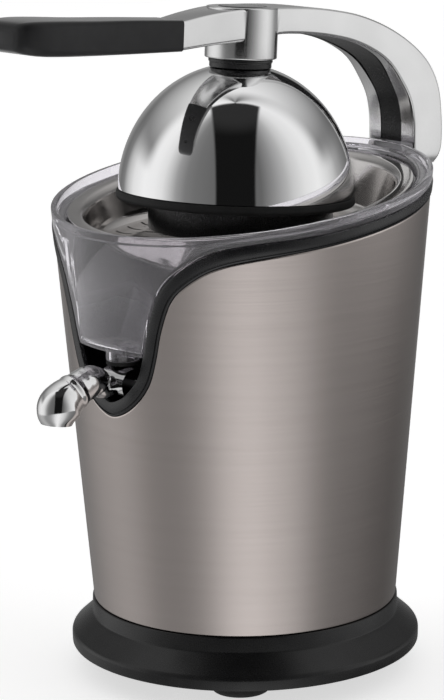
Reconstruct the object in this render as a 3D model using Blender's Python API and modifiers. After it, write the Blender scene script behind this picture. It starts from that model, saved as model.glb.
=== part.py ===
"""Lever citrus press juicer: steel body with motor and gear train, clear juice container with drip-stop
spout, strainer, spinning reamer, and a hinged arm that presses a dome on the fruit. Metres, +Z up.
The spout and the lever point to -Y, the arm is hinged at +Y, and z = 0 is the surface under the feet."""

import math

import bmesh
import bpy
from mathutils import Matrix, Vector

# Driving dimensions
AXIS_Y = 0.0095  # the body's axis stands this far behind the middle of the whole length
GAP = 0.0003  # between touching pieces
BODY_R = 0.0781  # steel cone radius at its lower edge
BODY_BOTTOM = 0.0358
BODY_TAPER = 0.084  # radius gained per metre of height
STEEL_T = 0.001
HOUSING_INSET = 0.0025
HOUSING_T = 0.0022
RIM_HEIGHT = 0.2491  # container rim, at the axis
RIM_SLOPE = 0.125  # the rim and the strainer lip rise towards the rear
LIP_HEIGHT = 0.2451
LIP_R = 0.0872
FLOOR_HEIGHT = 0.203  # container floor, underside, at the axis
FLOOR_SLOPE = 0.075
POCKET_BOTTOM = 0.177
DECK_Z = 0.190
DECK_T = 0.003
OUTLET_Y = -0.079
SPOUT_PIVOT = Vector((0, -0.0790, 0.1600))
ARM_PIVOT = Vector((0, 0.1183, 0.2585))
ARM_REST_TILT = math.radians(3.8)  # the resting arm stands this much above level
DOME_Y = -0.002
DOME_R = 0.0594
DOME_RISE = 0.0640
DOME_EDGE_Z = 0.238
DOME_HOLE_R = 0.0032
SHAFT_R = 0.0040
SHAFT_TOP = 0.2505
PRESS_TRAVEL = 0.0025
GEAR_MODULE = 0.0009
OUTPUT_TEETH = 40
IDLER_PINION_TEETH = 10
IDLER_TEETH = 40
ROTOR_TEETH = 10
GEAR_CENTRE = GEAR_MODULE * (OUTPUT_TEETH + IDLER_PINION_TEETH) / 2
IDLER_AT = (0.0, GEAR_CENTRE)
FOOT_CIRCLE_R = 0.0535
SCREW_CIRCLE_R = 0.0725
SCREW_ANGLES = (20, 110, 200, 290)
FOOT_ANGLES = (45, 135, 225, 315)

# Upper edge of the steel shell: (degrees from the front, height). It dips round the spout.
STEEL_EDGE = (
    (0, 0.1443), (7, 0.1477), (13, 0.1550), (17.5, 0.1645), (20.3, 0.1770), (22.8, 0.1925),
    (26.5, 0.2070), (32, 0.2160), (40, 0.2236), (52, 0.2283), (78, 0.2336), (110, 0.2405),
    (145, 0.2478), (180, 0.2505),
)  # fmt: skip
TRIM_WIDTH_FRONT = 0.0072
TRIM_WIDTH_REAR = 0.0056

PARTS = "citrus_press_juicer"


def clear_scene():
    for obj in list(bpy.data.objects):
        bpy.data.objects.remove(obj, do_unlink=True)


def new_collection(name, hidden=False):
    collection = bpy.data.collections.new(name)
    bpy.context.scene.collection.children.link(collection)
    collection.hide_render = hidden
    return collection


clear_scene()
parts = new_collection(PARTS)
cutters = new_collection("cutters", hidden=True)


def material(name, color, roughness, metallic=0.0, alpha=1.0):
    made = bpy.data.materials.new(name)
    made.use_nodes = True
    made.diffuse_color = (*color, alpha)
    shader = made.node_tree.nodes["Principled BSDF"]
    shader.inputs["Base Color"].default_value = (*color, 1)
    shader.inputs["Roughness"].default_value = roughness
    shader.inputs["Metallic"].default_value = metallic
    shader.inputs["Alpha"].default_value = alpha
    return made


def empty(name, at, parent=None, tilt=0.0):
    made = bpy.data.objects.new(name, None)
    parts.objects.link(made)
    made.parent = parent
    made.location = at
    made.rotation_euler = (tilt, 0, 0)
    return made


body_axis = empty("body_axis", (0, AXIS_Y, 0))
arm_pivot = empty("arm_pivot", ARM_PIVOT, body_axis, -ARM_REST_TILT)
spout_pivot = empty("spout_pivot", SPOUT_PIVOT, body_axis)
idler_axis = empty("idler_axis", (*IDLER_AT, 0), body_axis)


class Finish:
    """One Principled material for each sub-part, made from a few shared finishes."""

    STEEL = ((0.52, 0.49, 0.47), 0.32, 1.0, 1.0)
    CHROME = ((0.80, 0.80, 0.81), 0.08, 1.0, 1.0)
    SATIN = ((0.70, 0.70, 0.71), 0.25, 1.0, 1.0)
    BLACK = ((0.03, 0.03, 0.032), 0.38, 0.0, 1.0)
    RUBBER = ((0.025, 0.025, 0.025), 0.8, 0.0, 1.0)
    CLEAR = ((0.55, 0.53, 0.57), 0.06, 0.0, 0.35)
    NYLON = ((0.80, 0.78, 0.70), 0.45, 0.0, 1.0)
    ZINC = ((0.55, 0.55, 0.56), 0.35, 1.0, 1.0)


def place(obj, finish, parent=None):
    """Puts a piece in the parts collection, or a helper without a finish among the cutters."""
    (parts if finish else cutters).objects.link(obj)
    parent = parent or body_axis
    obj.parent = parent
    if parent is arm_pivot:
        obj.matrix_parent_inverse = Matrix.Translation(-ARM_PIVOT)
    elif parent is spout_pivot:
        obj.matrix_parent_inverse = Matrix.Translation(-SPOUT_PIVOT)
    elif parent is idler_axis:
        obj.matrix_parent_inverse = Matrix.Translation(-Vector((*IDLER_AT, 0)))
    if finish:
        obj.data.materials.append(material(obj.name, *finish))
    else:
        obj.hide_render = True
        obj.display_type = "WIRE"
    return obj


def object_from(name, bm, finish, parent=None, smooth=True):
    mesh = bpy.data.meshes.new(name)
    bmesh.ops.recalc_face_normals(bm, faces=bm.faces)
    bm.to_mesh(mesh)
    bm.free()
    if smooth:
        mesh.shade_smooth()
        mesh.set_sharp_from_angle(angle=math.radians(35))
    return place(bpy.data.objects.new(name, mesh), finish, parent)


def turned(name, profile, finish, parent=None, at=(0, 0, 0), steps=40, turn=None):
    """A profile of (radius, height) points, outer side first from the top, turned about the Z axis."""
    mesh = bpy.data.meshes.new(name)
    points = [(radius, 0, height) for radius, height in profile]
    edges = [(i, i + 1) for i in range(len(points) - 1)]
    if profile[0][0] > 0:
        edges.append((len(points) - 1, 0))
    mesh.from_pydata(points, edges, [])
    obj = place(bpy.data.objects.new(name, mesh), finish, parent)
    screw = obj.modifiers.new("turn", "SCREW")
    screw.steps = screw.render_steps = steps
    screw.use_merge_vertices = True
    screw.merge_threshold = 1e-5
    obj.location = at
    if turn:
        obj.rotation_euler = turn
    return obj


def box(name, low, high, finish, parent=None, bevel=0.0, segments=2):
    bm = bmesh.new()
    bmesh.ops.create_cube(bm, size=1)
    size = Vector(high) - Vector(low)
    bmesh.ops.scale(bm, vec=size, verts=bm.verts)
    bmesh.ops.translate(bm, vec=(Vector(high) + Vector(low)) / 2, verts=bm.verts)
    obj = object_from(name, bm, finish, parent)
    if bevel:
        round_edges(obj, bevel, segments)
    return obj


def round_edges(obj, width, segments=2, angle=40):
    bevel = obj.modifiers.new("round", "BEVEL")
    bevel.width = width
    bevel.segments = segments
    bevel.limit_method = "ANGLE"
    bevel.angle_limit = math.radians(angle)


def rod(name, radius, start, end, finish, parent=None, sides=24, end_radius=None):
    """A cylinder, or a cone with end_radius, between two points."""
    start = Vector(start)
    run = Vector(end) - start
    bm = bmesh.new()
    top = radius if end_radius is None else end_radius
    bmesh.ops.create_cone(
        bm, cap_ends=True, segments=sides, radius1=radius, radius2=top, depth=run.length
    )
    turn = Vector((0, 0, 1)).rotation_difference(run).to_matrix().to_4x4()
    bmesh.ops.transform(bm, matrix=Matrix.Translation(start + run / 2) @ turn, verts=bm.verts)
    return object_from(name, bm, finish, parent)


def boolean(obj, helper, operation="DIFFERENCE"):
    cut = obj.modifiers.new(helper.name, "BOOLEAN")
    cut.operation = operation
    cut.solver = "EXACT"
    cut.object = helper
    return obj


def polar(radius, degrees, height):
    """A point at an angle from the front (-Y), growing towards +X."""
    turn = math.radians(degrees)
    return Vector((radius * math.sin(turn), -radius * math.cos(turn), height))


def body_r(height):
    return BODY_R + BODY_TAPER * (height - BODY_BOTTOM)


def smooth_step(value, low, high):
    share = min(1.0, max(0.0, (value - low) / (high - low)))
    return share * share * (3 - 2 * share)


def mix(a, b, share):
    return a + (b - a) * share


def catmull(p0, p1, p2, p3, t):
    """A point on the smooth curve between p1 and p2."""
    return 0.5 * (
        2 * p1
        + (p2 - p0) * t
        + (2 * p0 - 5 * p1 + 4 * p2 - p3) * t * t
        + (3 * p1 - p0 - 3 * p2 + p3) * t * t * t
    )


def edge_curve():
    """The steel edge from front to rear, as developed points (arc length at BODY_R * 1.15, height)."""
    reach = BODY_R * 1.15
    points = [Vector((math.radians(a) * reach, z)) for a, z in STEEL_EDGE]
    points = [Vector((-points[1].x, points[1].y))] + points
    last = points[-1]
    points.append(Vector((2 * last.x - points[-2].x, points[-2].y)))
    curve = []
    for i in range(1, len(points) - 2):
        per_span = max(2, math.ceil((points[i + 1].x - points[i].x) / reach / math.radians(8)))
        for step in range(per_span):
            curve.append(catmull(*points[i - 1 : i + 3], step / per_span))
    return curve + [last], reach


def trim_edges():
    """Lower and upper edge of the trim as lists of (degrees, height), right half, front to rear."""
    curve, reach = edge_curve()
    lower, upper = [], []
    for i, point in enumerate(curve):
        ahead = curve[min(i + 1, len(curve) - 1)]
        behind = curve[max(i - 1, 0)]
        along = Vector((1, 0)) if i in (0, len(curve) - 1) else (ahead - behind).normalized()
        angle = math.degrees(point.x / reach)
        width = mix(TRIM_WIDTH_FRONT, TRIM_WIDTH_REAR, smooth_step(angle, 40, 80))
        raised = point + Vector((-along.y, along.x)) * width
        lower.append((angle, point.y))
        upper.append((math.degrees(raised.x / reach), raised.y))
    return lower, upper


def both_sides(half):
    """Mirrors a list of (degrees, height) about the front, as one closed turn."""
    return half + [(-a, z) for a, z in reversed(half[1:-1])]


LOWER_EDGE, UPPER_EDGE = trim_edges()


def height_at(edge, degrees):
    """Height of an edge at an angle, between its points."""
    degrees = abs((degrees + 180) % 360 - 180)
    for (a0, z0), (a1, z1) in zip(edge, edge[1:]):
        if a0 <= degrees <= a1:
            return mix(z0, z1, (degrees - a0) / max(a1 - a0, 1e-9))
    return edge[-1][1]


def ring_loft(name, sections, finish, parent=None):
    """Skins closed cross-sections, each a list of points, into a ring round the axis."""
    bm = bmesh.new()
    rows = [[bm.verts.new(point) for point in section] for section in sections]
    for row, after in zip(rows, rows[1:] + rows[:1]):
        for i in range(len(row)):
            j = (i + 1) % len(row)
            bm.faces.new((row[i], row[j], after[j], after[i]))
    return object_from(name, bm, finish, parent)


# Base: ring, bottom plate, feet, screws and the cord's inlet


def make_base():
    ring = turned(
        "base_ring",
        [
            (0.0762, 0.0420), (0.0762, 0.0358), (0.0786, 0.0352), (0.0791, 0.0272),
            (0.0896, 0.0182), (0.0900, 0.0172), (0.0898, 0.0113),
            (0.0874, 0.0113), (0.0874, 0.0165), (0.0762, 0.0260), (0.0742, 0.0420),
        ],
        Finish.BLACK,
        steps=40,
    )  # fmt: skip
    plate = turned(
        "base_plate",
        [(0, 0.0138), (0.0869, 0.0138), (0.0869, 0.0113), (0, 0.0113)],
        Finish.BLACK,
        steps=40,
    )
    for number, angle in enumerate(SCREW_ANGLES, 1):
        make_base_screw(number, angle, ring, plate)
    for number, angle in enumerate(FOOT_ANGLES, 1):
        make_foot(number, angle, plate)
    inlet_z = 0.0235
    hole = rod("inlet_hole", 0.0054, (0, 0.068, inlet_z), (0, 0.095, inlet_z), None)
    boolean(ring, hole)
    inlet = turned(
        "cable_inlet",
        [(0.0050, 0.0890), (0.0050, 0.0720), (0.0034, 0.0720), (0.0034, 0.0890)],
        Finish.RUBBER,
        at=(0, 0, inlet_z),
        steps=20,
        turn=(math.radians(-90), 0, 0),
    )
    return inlet


def make_base_screw(number, angle, ring, plate):
    foot = polar(SCREW_CIRCLE_R, angle, 0)
    lift = Vector((0, 0, 1))
    boss = rod(f"boss_{number}", 0.0040, foot + lift * 0.0141, foot + lift * 0.0290, None, sides=12)
    boolean(ring, boss, "UNION")
    bore = rod(f"screw_bore_{number}", 0.0017, foot + lift * 0.009, foot + lift * 0.0235, None, sides=12)
    boolean(ring, bore)
    boolean(plate, bore)
    turned(
        f"base_screw_{number}",
        [(0, 0.0220), (0.0013, 0.0220), (0.0013, 0.0110), (0.0029, 0.0110), (0.0029, 0.0096), (0, 0.0094)],
        Finish.ZINC,
        at=foot,
        steps=12,
    )


def make_foot(number, angle, plate):
    spot = polar(FOOT_CIRCLE_R, angle, 0)
    hole = rod(f"foot_hole_{number}", 0.0043, spot, spot + Vector((0, 0, 0.016)), None, sides=16)
    boolean(plate, hole)
    turned(
        f"foot_{number}",
        [
            (0, 0.0166), (0.0032, 0.0166), (0.0052, 0.0143), (0.0040, 0.0141), (0.0040, 0.0110),
            (0.0155, 0.0110), (0.0155, 0.0020), (0.0140, 0.0), (0, 0.0),
        ],
        Finish.RUBBER,
        at=spot,
        steps=16,
    )  # fmt: skip


# Body: steel shell, trim and inner housing


def make_shell():
    sections = []
    low = BODY_BOTTOM + GAP
    for angle, height in both_sides(LOWER_EDGE):
        high = height - GAP
        sections.append(
            [
                polar(body_r(high), angle, high),
                polar(body_r(high) - STEEL_T, angle, high),
                polar(body_r(low) - STEEL_T, angle, low),
                polar(body_r(low), angle, low),
            ]
        )
    return ring_loft("steel_shell", sections, Finish.STEEL)


def make_trim():
    sections = []
    for (a0, z0), (a1, z1) in zip(both_sides(LOWER_EDGE), both_sides(UPPER_EDGE)):
        sections.append(
            [
                polar(body_r(z1) - 0.0020, a1, z1),
                polar(body_r(z0) - 0.0020, a0, z0),
                polar(body_r(z0) + 0.0006, a0, z0),
                polar(body_r(z1) + 0.0006, a1, z1),
            ]
        )
    return ring_loft("rim_trim", sections, Finish.BLACK)


def housing_r(height):
    return body_r(height) - HOUSING_INSET


def make_housing():
    top, bottom, deck = 0.2535, 0.0423, DECK_Z + DECK_T
    housing = turned(
        "inner_housing",
        [
            (housing_r(top), top), (housing_r(bottom), bottom), (housing_r(bottom) - HOUSING_T, bottom),
            (housing_r(DECK_Z) - HOUSING_T, DECK_Z), (0.0068, DECK_Z), (0.0068, 0.2260),
            (0.0110, 0.2260), (0.0118, deck), (housing_r(deck) - HOUSING_T, deck),
            (housing_r(top) - HOUSING_T, top),
        ],
        Finish.BLACK,
        steps=44,
    )  # fmt: skip
    bay = box("bay_block", (-0.0308, -0.110, 0.1420), (0.0308, -0.0556, 0.1910), None)
    envelope = turned(
        "housing_envelope",
        [(0, 0.20), (housing_r(0.20) - 0.0006, 0.20), (housing_r(0.13) - 0.0006, 0.13), (0, 0.13)],
        None,
        steps=44,
    )
    boolean(bay, envelope, "INTERSECT")
    boolean(housing, bay, "UNION")
    boolean(housing, box("bay_space", (-0.0284, -0.115, 0.1445), (0.0284, -0.0580, 0.2000), None))
    sections = []
    for (angle, z0), (_, z1) in zip(both_sides(LOWER_EDGE), both_sides(UPPER_EDGE)):
        low = z0 + 0.0030
        outline = ((0.110, 0.28), (0.110, low), (0.070, low), (0.070, 0.28))
        sections.append([polar(r, angle, z) for r, z in outline])
    boolean(housing, ring_loft("edge_cut", sections, None))
    slot = box("bracket_slot", (-0.0125, 0.070, 0.2300), (0.0125, 0.110, 0.2700), None)
    boolean(housing, slot)
    return housing


# Container with its pocket and outlet


def floor_z(y):
    return FLOOR_HEIGHT + FLOOR_SLOPE * y


def tilted_z(height, radius, angle):
    return height - RIM_SLOPE * radius * math.cos(math.radians(angle))


def skirt_bottom(angle):
    return max(POCKET_BOTTOM + 0.0024, height_at(UPPER_EDGE, abs(angle) + 0.6) + 0.0006)


def container_section(angle):
    """Cross-section of the container at an angle: outer skin down and out, rim, inner skin back."""
    front = math.cos(math.radians(angle))
    skirt = skirt_bottom(angle)
    rim = tilted_z(RIM_HEIGHT, 0.0961, angle)
    floor = floor_z(-0.080 * front)
    corner = max(POCKET_BOTTOM, min(floor + 0.0008, skirt - 0.0024))
    pocket = (floor + 0.0008 - corner) / (floor + 0.0008 - POCKET_BOTTOM)
    flush = smooth_step(pocket, 0.9, 1.0)
    wide = 1 - smooth_step(abs((angle + 180) % 360 - 180), 38, 52)
    inner = body_r(skirt) - 0.0057
    shelf = max(corner + 0.0008, min(tilted_z(LIP_HEIGHT, LIP_R, angle) - 0.0057, skirt - 0.0008))
    wall = 0.0019
    outer = body_r(skirt) + 0.0003
    corner_r = mix(mix(0.0800, body_r(corner) - 0.0062, wide), outer - 0.0008, flush)
    shelf_r = mix(mix(0.0818, body_r(shelf) - 0.0060, wide), outer - 0.0002, flush)
    step_r = mix(inner, outer - 0.0001, flush)
    well_r = mix(0.0735, 0.0660, pocket)
    skin = [
        (0.0136, 0.2290),
        (0.0136, floor_z(-0.0136 * front)),
        (0.0600, floor_z(-0.0600 * front)),
        (well_r, mix(floor_z(-0.0735 * front), POCKET_BOTTOM + 0.0002, pocket)),
        (corner_r, corner),
        (shelf_r, shelf),
        (step_r, shelf + 0.0003),
        (step_r, skirt - 0.0004),
        (outer, skirt),
        (body_r(rim) + 0.0003, rim),
        (body_r(rim) - 0.0023, rim),
        (mix(body_r(skirt), outer, flush) - 0.0026, skirt + wall),
        (step_r - mix(wall, 0.0027, flush), skirt + wall - 0.0002),
        (step_r - mix(wall, 0.0028, flush), shelf + wall + 0.0004),
        (shelf_r - mix(wall, 0.0028, flush), shelf + wall),
        (corner_r - mix(wall, 0.0026, flush), corner + wall),
        (well_r + mix(-0.0004, wall, pocket), mix(floor_z(-0.0735 * front), POCKET_BOTTOM, pocket) + wall),
        (0.0600, floor_z(-0.0600 * front) + wall),
        (0.0158, floor_z(-0.0158 * front) + wall),
        (0.0155, 0.2290),
    ]
    return [polar(r, angle, z) for r, z in reversed(skin)]


def container_angles():
    """Close together where the pocket and the trim's dip change fast."""
    dip = [angle for angle, _ in UPPER_EDGE if 9 < angle < 56]
    half = [0] + dip + [66, 76, 88, 100, 112, 124, 136, 148, 158, 169, 180]
    return half + [-a for a in reversed(half[1:-1])]


def make_container():
    sections = [container_section(angle) for angle in container_angles()]
    container = ring_loft("juice_container", sections, Finish.CLEAR)
    boss = turned(
        "outlet_boss",
        [(0, 0.1778), (0.0085, 0.1778), (0.0085, 0.1715), (0, 0.1715)],
        None,
        at=(0, OUTLET_Y, 0),
        steps=20,
    )
    boolean(container, boss, "UNION")
    bore = rod("outlet_bore", 0.0062, (0, OUTLET_Y, 0.165), (0, OUTLET_Y, 0.1815), None, sides=20)
    boolean(container, bore)
    turned(
        "outlet_seal",
        [(0.0084, 0.1712), (0.0084, 0.1697), (0.0062, 0.1697), (0.0062, 0.1712)],
        Finish.RUBBER,
        at=(0, OUTLET_Y, 0),
        steps=20,
    )
    return container


# Spout: a hollow barrel that turns under the outlet, with a bent tube in front


SPOUT_LINE = (  # y, z, outer radius, bore radius, from the barrel to the mouth
    (-0.0800, 0.1600, 0.0056, 0.0040), (-0.0905, 0.1595, 0.0056, 0.0042), (-0.0950, 0.1626, 0.0074, 0.0060),
    (-0.1000, 0.1640, 0.0080, 0.0065), (-0.1050, 0.1626, 0.0083, 0.0068), (-0.1105, 0.1604, 0.0088, 0.0073),
    (-0.1160, 0.1578, 0.0100, 0.0085), (-0.1196, 0.1546, 0.0109, 0.0094), (-0.1213, 0.1506, 0.0100, 0.0086),
    (-0.1219, 0.1462, 0.0076, 0.0063),
)  # fmt: skip


def tube_loft(name, path, radii, finish, parent, sides=24):
    """A round solid along a path in the YZ plane, with a radius at each point."""
    bm = bmesh.new()
    rows = []
    for i, (point, radius) in enumerate(zip(path, radii)):
        ahead = path[min(i + 1, len(path) - 1)]
        behind = path[max(i - 1, 0)]
        along = (ahead - behind).normalized()
        side = Vector((1, 0, 0))
        up = side.cross(along)
        row = []
        for step in range(sides):
            turn = 2 * math.pi * step / sides
            row.append(bm.verts.new(point + radius * (side * math.cos(turn) + up * math.sin(turn))))
        rows.append(row)
    for row, after in zip(rows, rows[1:]):
        for i in range(sides):
            j = (i + 1) % sides
            bm.faces.new((row[i], row[j], after[j], after[i]))
    bm.faces.new(rows[0])
    bm.faces.new(reversed(rows[-1]))
    return object_from(name, bm, finish, parent)


def make_spout():
    pivot = SPOUT_PIVOT
    half = Vector((0.0085, 0, 0))
    spout = rod("spout", 0.0082, pivot - half, pivot + half, Finish.CHROME, spout_pivot, sides=28)
    path = [Vector((0, y, z)) for y, z, _, _ in SPOUT_LINE]
    outer = [radius for _, _, radius, _ in SPOUT_LINE]
    inner = [radius for _, _, _, radius in SPOUT_LINE]
    boolean(spout, tube_loft("spout_tube", path, outer, None, spout_pivot), "UNION")
    past_mouth = path[-1] + (path[-1] - path[-2]).normalized() * 0.003
    boolean(spout, tube_loft("spout_bore", [pivot] + path[1:-1] + [past_mouth], inner, None, spout_pivot))
    room = Vector((0.0068, 0, 0))
    boolean(spout, rod("barrel_bore", 0.0067, pivot - room, pivot + room, None, spout_pivot))
    port = Vector((0, OUTLET_Y, 0.1580))
    boolean(spout, rod("barrel_port", 0.0048, port, port + Vector((0, 0, 0.02)), None, spout_pivot, sides=16))
    reach = Vector((0.0274, 0, 0))
    boolean(spout, rod("spout_pin_bore", 0.0023, pivot - reach, pivot + reach, None, spout_pivot, sides=16))
    pin = rod("spout_pin", 0.0020, pivot - reach, pivot + reach, Finish.ZINC, sides=16)
    return spout, pin


# Strainer and reamer


def strainer_floor(y):
    return 0.2205 + 0.05 * y


def make_strainer():
    sections = []
    count = 36
    for step in range(count):
        angle = 360 * step / count
        front = math.cos(math.radians(angle))
        lip = tilted_z(LIP_HEIGHT, LIP_R, angle)
        floor = [strainer_floor(-r * front) for r in (0.0185, 0.0700)]
        skin = [
            (0.0186, floor[0] + 0.0045), (0.0178, floor[0] + 0.0045), (0.0178, floor[0] - 0.0008),
            (0.0700, floor[1] - 0.0008), (0.0765, floor[1] + 0.0030), (0.0790, lip - 0.0030),
            (0.0810, lip - 0.0011), (LIP_R, lip - 0.0008), (LIP_R, lip), (0.0806, lip - 0.0001),
            (0.0780, lip - 0.0026), (0.0756, floor[1] + 0.0036), (0.0694, floor[1]), (0.0186, floor[0]),
        ]  # fmt: skip
        sections.append([polar(r, angle, z) for r, z in reversed(skin)])
    strainer = ring_loft("strainer", sections, Finish.STEEL)
    cut_strainer_slots(strainer)
    return strainer


def cut_strainer_slots(strainer):
    """Slots in the strainer's floor, all in one cutter so that one Boolean makes them."""
    bm = bmesh.new()
    for ring_r, count in ((0.0340, 8), (0.0580, 12)):
        for step in range(count):
            turn = 2 * math.pi * (step + 0.5) / count
            made = bmesh.ops.create_cube(bm, size=1)["verts"]
            bmesh.ops.scale(bm, vec=(0.0150, 0.0020, 0.040), verts=made)
            spot = Vector((ring_r * math.cos(turn), ring_r * math.sin(turn), 0.2200))
            move = Matrix.Translation(spot) @ Matrix.Rotation(turn, 4, "Z")
            bmesh.ops.transform(bm, matrix=move, verts=made)
    boolean(strainer, object_from("strainer_slots", bm, None, smooth=False))


REAMER_RIBS = 8
REAMER_ROWS = (  # radius, height, share of rib relief
    (0.0467, 0.2285, 0.0), (0.0467, 0.2440, 0.0), (0.0440, 0.2475, 0.0), (0.0370, 0.2490, 0.25),
    (0.0320, 0.2530, 1.0), (0.0275, 0.2620, 1.0), (0.0215, 0.2710, 1.0), (0.0140, 0.2790, 0.9),
    (0.0065, 0.2840, 0.6),
)  # fmt: skip
REAMER_TIP = 0.2862


def make_reamer():
    """A ribbed crown on a plain skirt, hollow below, with a hub that takes the shaft's flats."""
    bm = bmesh.new()
    columns = REAMER_RIBS * 4
    rings = []
    for radius, height, relief in REAMER_ROWS:
        ring = []
        for step in range(columns):
            turn = 360 * step / columns
            ribbed = radius * (1 - 0.12 * relief * (1 - abs(math.cos(math.radians(turn * REAMER_RIBS / 2)))))
            ring.append(bm.verts.new(polar(ribbed, turn, height)))
        rings.append(ring)
    inner = [(0.0445, 0.2285), (0.0445, 0.2430), (0.0250, 0.2500), (0.0160, 0.2640)]
    hollow = [[bm.verts.new(polar(r, 360 * s / columns, z)) for s in range(columns)] for r, z in inner]
    strips = list(zip(rings, rings[1:])) + list(zip(hollow, hollow[1:])) + [(rings[0], hollow[0])]
    for row, after in strips:
        for i in range(columns):
            j = (i + 1) % columns
            bm.faces.new((row[i], row[j], after[j], after[i]))
    for ring, height in ((rings[-1], REAMER_TIP), (hollow[-1], 0.2660)):
        tip = bm.verts.new((0, 0, height))
        for i in range(columns):
            bm.faces.new((ring[i], ring[(i + 1) % columns], tip))
    reamer = object_from("reamer", bm, Finish.BLACK)
    boolean(reamer, rod("reamer_hub", 0.0095, (0, 0, 0.2325), (0, 0, 0.2680), None), "UNION")
    boolean(reamer, rod("reamer_socket", 0.0056, (0, 0, 0.2300), (0, 0, SHAFT_TOP + 0.0006), None, sides=6))
    return reamer


# Arm: hinge bracket, casting with hub and lever, grip, and the dome under the hub. The arm is drawn level.


def extruded(name, outline, half_width, finish, parent=None):
    """A flat outline in the YZ plane, extruded both ways along X."""
    bm = bmesh.new()
    sides = [[bm.verts.new((x, y, z)) for y, z in outline] for x in (-half_width, half_width)]
    for i in range(len(outline)):
        j = (i + 1) % len(outline)
        bm.faces.new((sides[0][i], sides[0][j], sides[1][j], sides[1][i]))
    bm.faces.new(sides[0])
    bm.faces.new(reversed(sides[1]))
    return object_from(name, bm, finish, parent)


def arc(centre, radius, start, end, count):
    """Points on a circle in the YZ plane, angles in degrees from +Y towards +Z."""
    points = []
    for step in range(count + 1):
        turn = math.radians(mix(start, end, step / count))
        points.append((centre[0] + radius * math.cos(turn), centre[1] + radius * math.sin(turn)))
    return points


def make_bracket():
    eye = (ARM_PIVOT.y, ARM_PIVOT.z)
    outline = [
        (0.0846, 0.2499), (0.0842, 0.2160), (0.0870, 0.2160), (0.0886, 0.2379), (0.1100, 0.2379),
    ] + arc(eye, 0.0085, -50, 205, 14) + [(0.1070, 0.2545), (0.0922, 0.2545), (0.0922, 0.2499)]  # fmt: skip
    bracket = extruded("hinge_bracket", outline, 0.0117, Finish.ZINC)
    centre = Vector((0, ARM_PIVOT.y, ARM_PIVOT.z))
    across = Vector((0.03, 0, 0))
    boolean(bracket, rod("bush_bore", 0.0048, centre - across, centre + across, None))
    half = Vector((0.0117, 0, 0))
    bush = rod("hinge_bush", 0.0045, centre - half, centre + half, Finish.NYLON)
    boolean(bush, rod("bush_inner", 0.00315, centre - across, centre + across, None))
    return bracket


ARM_STATIONS = (  # upper (outer) point, lower (inner) point, half width
    ((-0.0500, 0.3242), (-0.0500, 0.3102), 0.0108), ((-0.0300, 0.3266), (-0.0300, 0.3122), 0.0118),
    ((-0.0130, 0.3286), (-0.0130, 0.3142), 0.0138), ((0.0020, 0.3302), (0.0020, 0.3158), 0.0150),
    ((0.0150, 0.3305), (0.0130, 0.3172), 0.0146), ((0.0310, 0.3302), (0.0300, 0.3168), 0.0142),
    ((0.0480, 0.3288), (0.0460, 0.3153), 0.0144), ((0.0670, 0.3258), (0.0620, 0.3124), 0.0149),
    ((0.0864, 0.3197), (0.0760, 0.3076), 0.0155), ((0.1040, 0.3109), (0.0876, 0.3011), 0.0160),
    ((0.1170, 0.3006), (0.0965, 0.2917), 0.0165), ((0.1250, 0.2880), (0.1035, 0.2815), 0.0168),
    ((0.1282, 0.2730), (0.1068, 0.2705), 0.0170), ((0.1292, 0.2585), (0.1078, 0.2585), 0.0170),
    ((0.1275, 0.2520), (0.1092, 0.2520), 0.0170), ((0.1240, 0.2480), (0.1125, 0.2480), 0.0168),
)  # fmt: skip
ARM_EDGE = 0.0022
CLEVIS_HALF = 0.0122
CLEVIS_FRONT_TOP = 0.2562  # the slot opens only below these, where the bracket passes as the arm swings
CLEVIS_REAR_TOP = 0.2618
CHANNEL_HALF = 0.0088  # the hollow along the underside of the arm's bend
CHANNEL_DEPTH = 0.0018


def eight_sided(upper, lower, half, edge):
    """A chamfered rectangle across X, between an upper and a lower point."""
    upper = Vector((0, *upper))
    lower = Vector((0, *lower))
    down = (lower - upper).normalized() * edge
    inside = half - edge
    return [
        upper + Vector((-inside, 0, 0)), upper + Vector((inside, 0, 0)),
        upper + down + Vector((half, 0, 0)), lower - down + Vector((half, 0, 0)),
        lower + Vector((inside, 0, 0)), lower + Vector((-inside, 0, 0)),
        lower - down + Vector((-half, 0, 0)), upper + down + Vector((-half, 0, 0)),
    ]  # fmt: skip


def bar_loft(name, sections, finish, parent):
    """Skins cross-sections into a bar with flat ends."""
    bm = bmesh.new()
    rows = [[bm.verts.new(point) for point in section] for section in sections]
    for row, after in zip(rows, rows[1:]):
        for i in range(len(row)):
            j = (i + 1) % len(row)
            bm.faces.new((row[i], row[j], after[j], after[i]))
    bm.faces.new(reversed(rows[0]))
    bm.faces.new(rows[-1])
    return object_from(name, bm, finish, parent)


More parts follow.
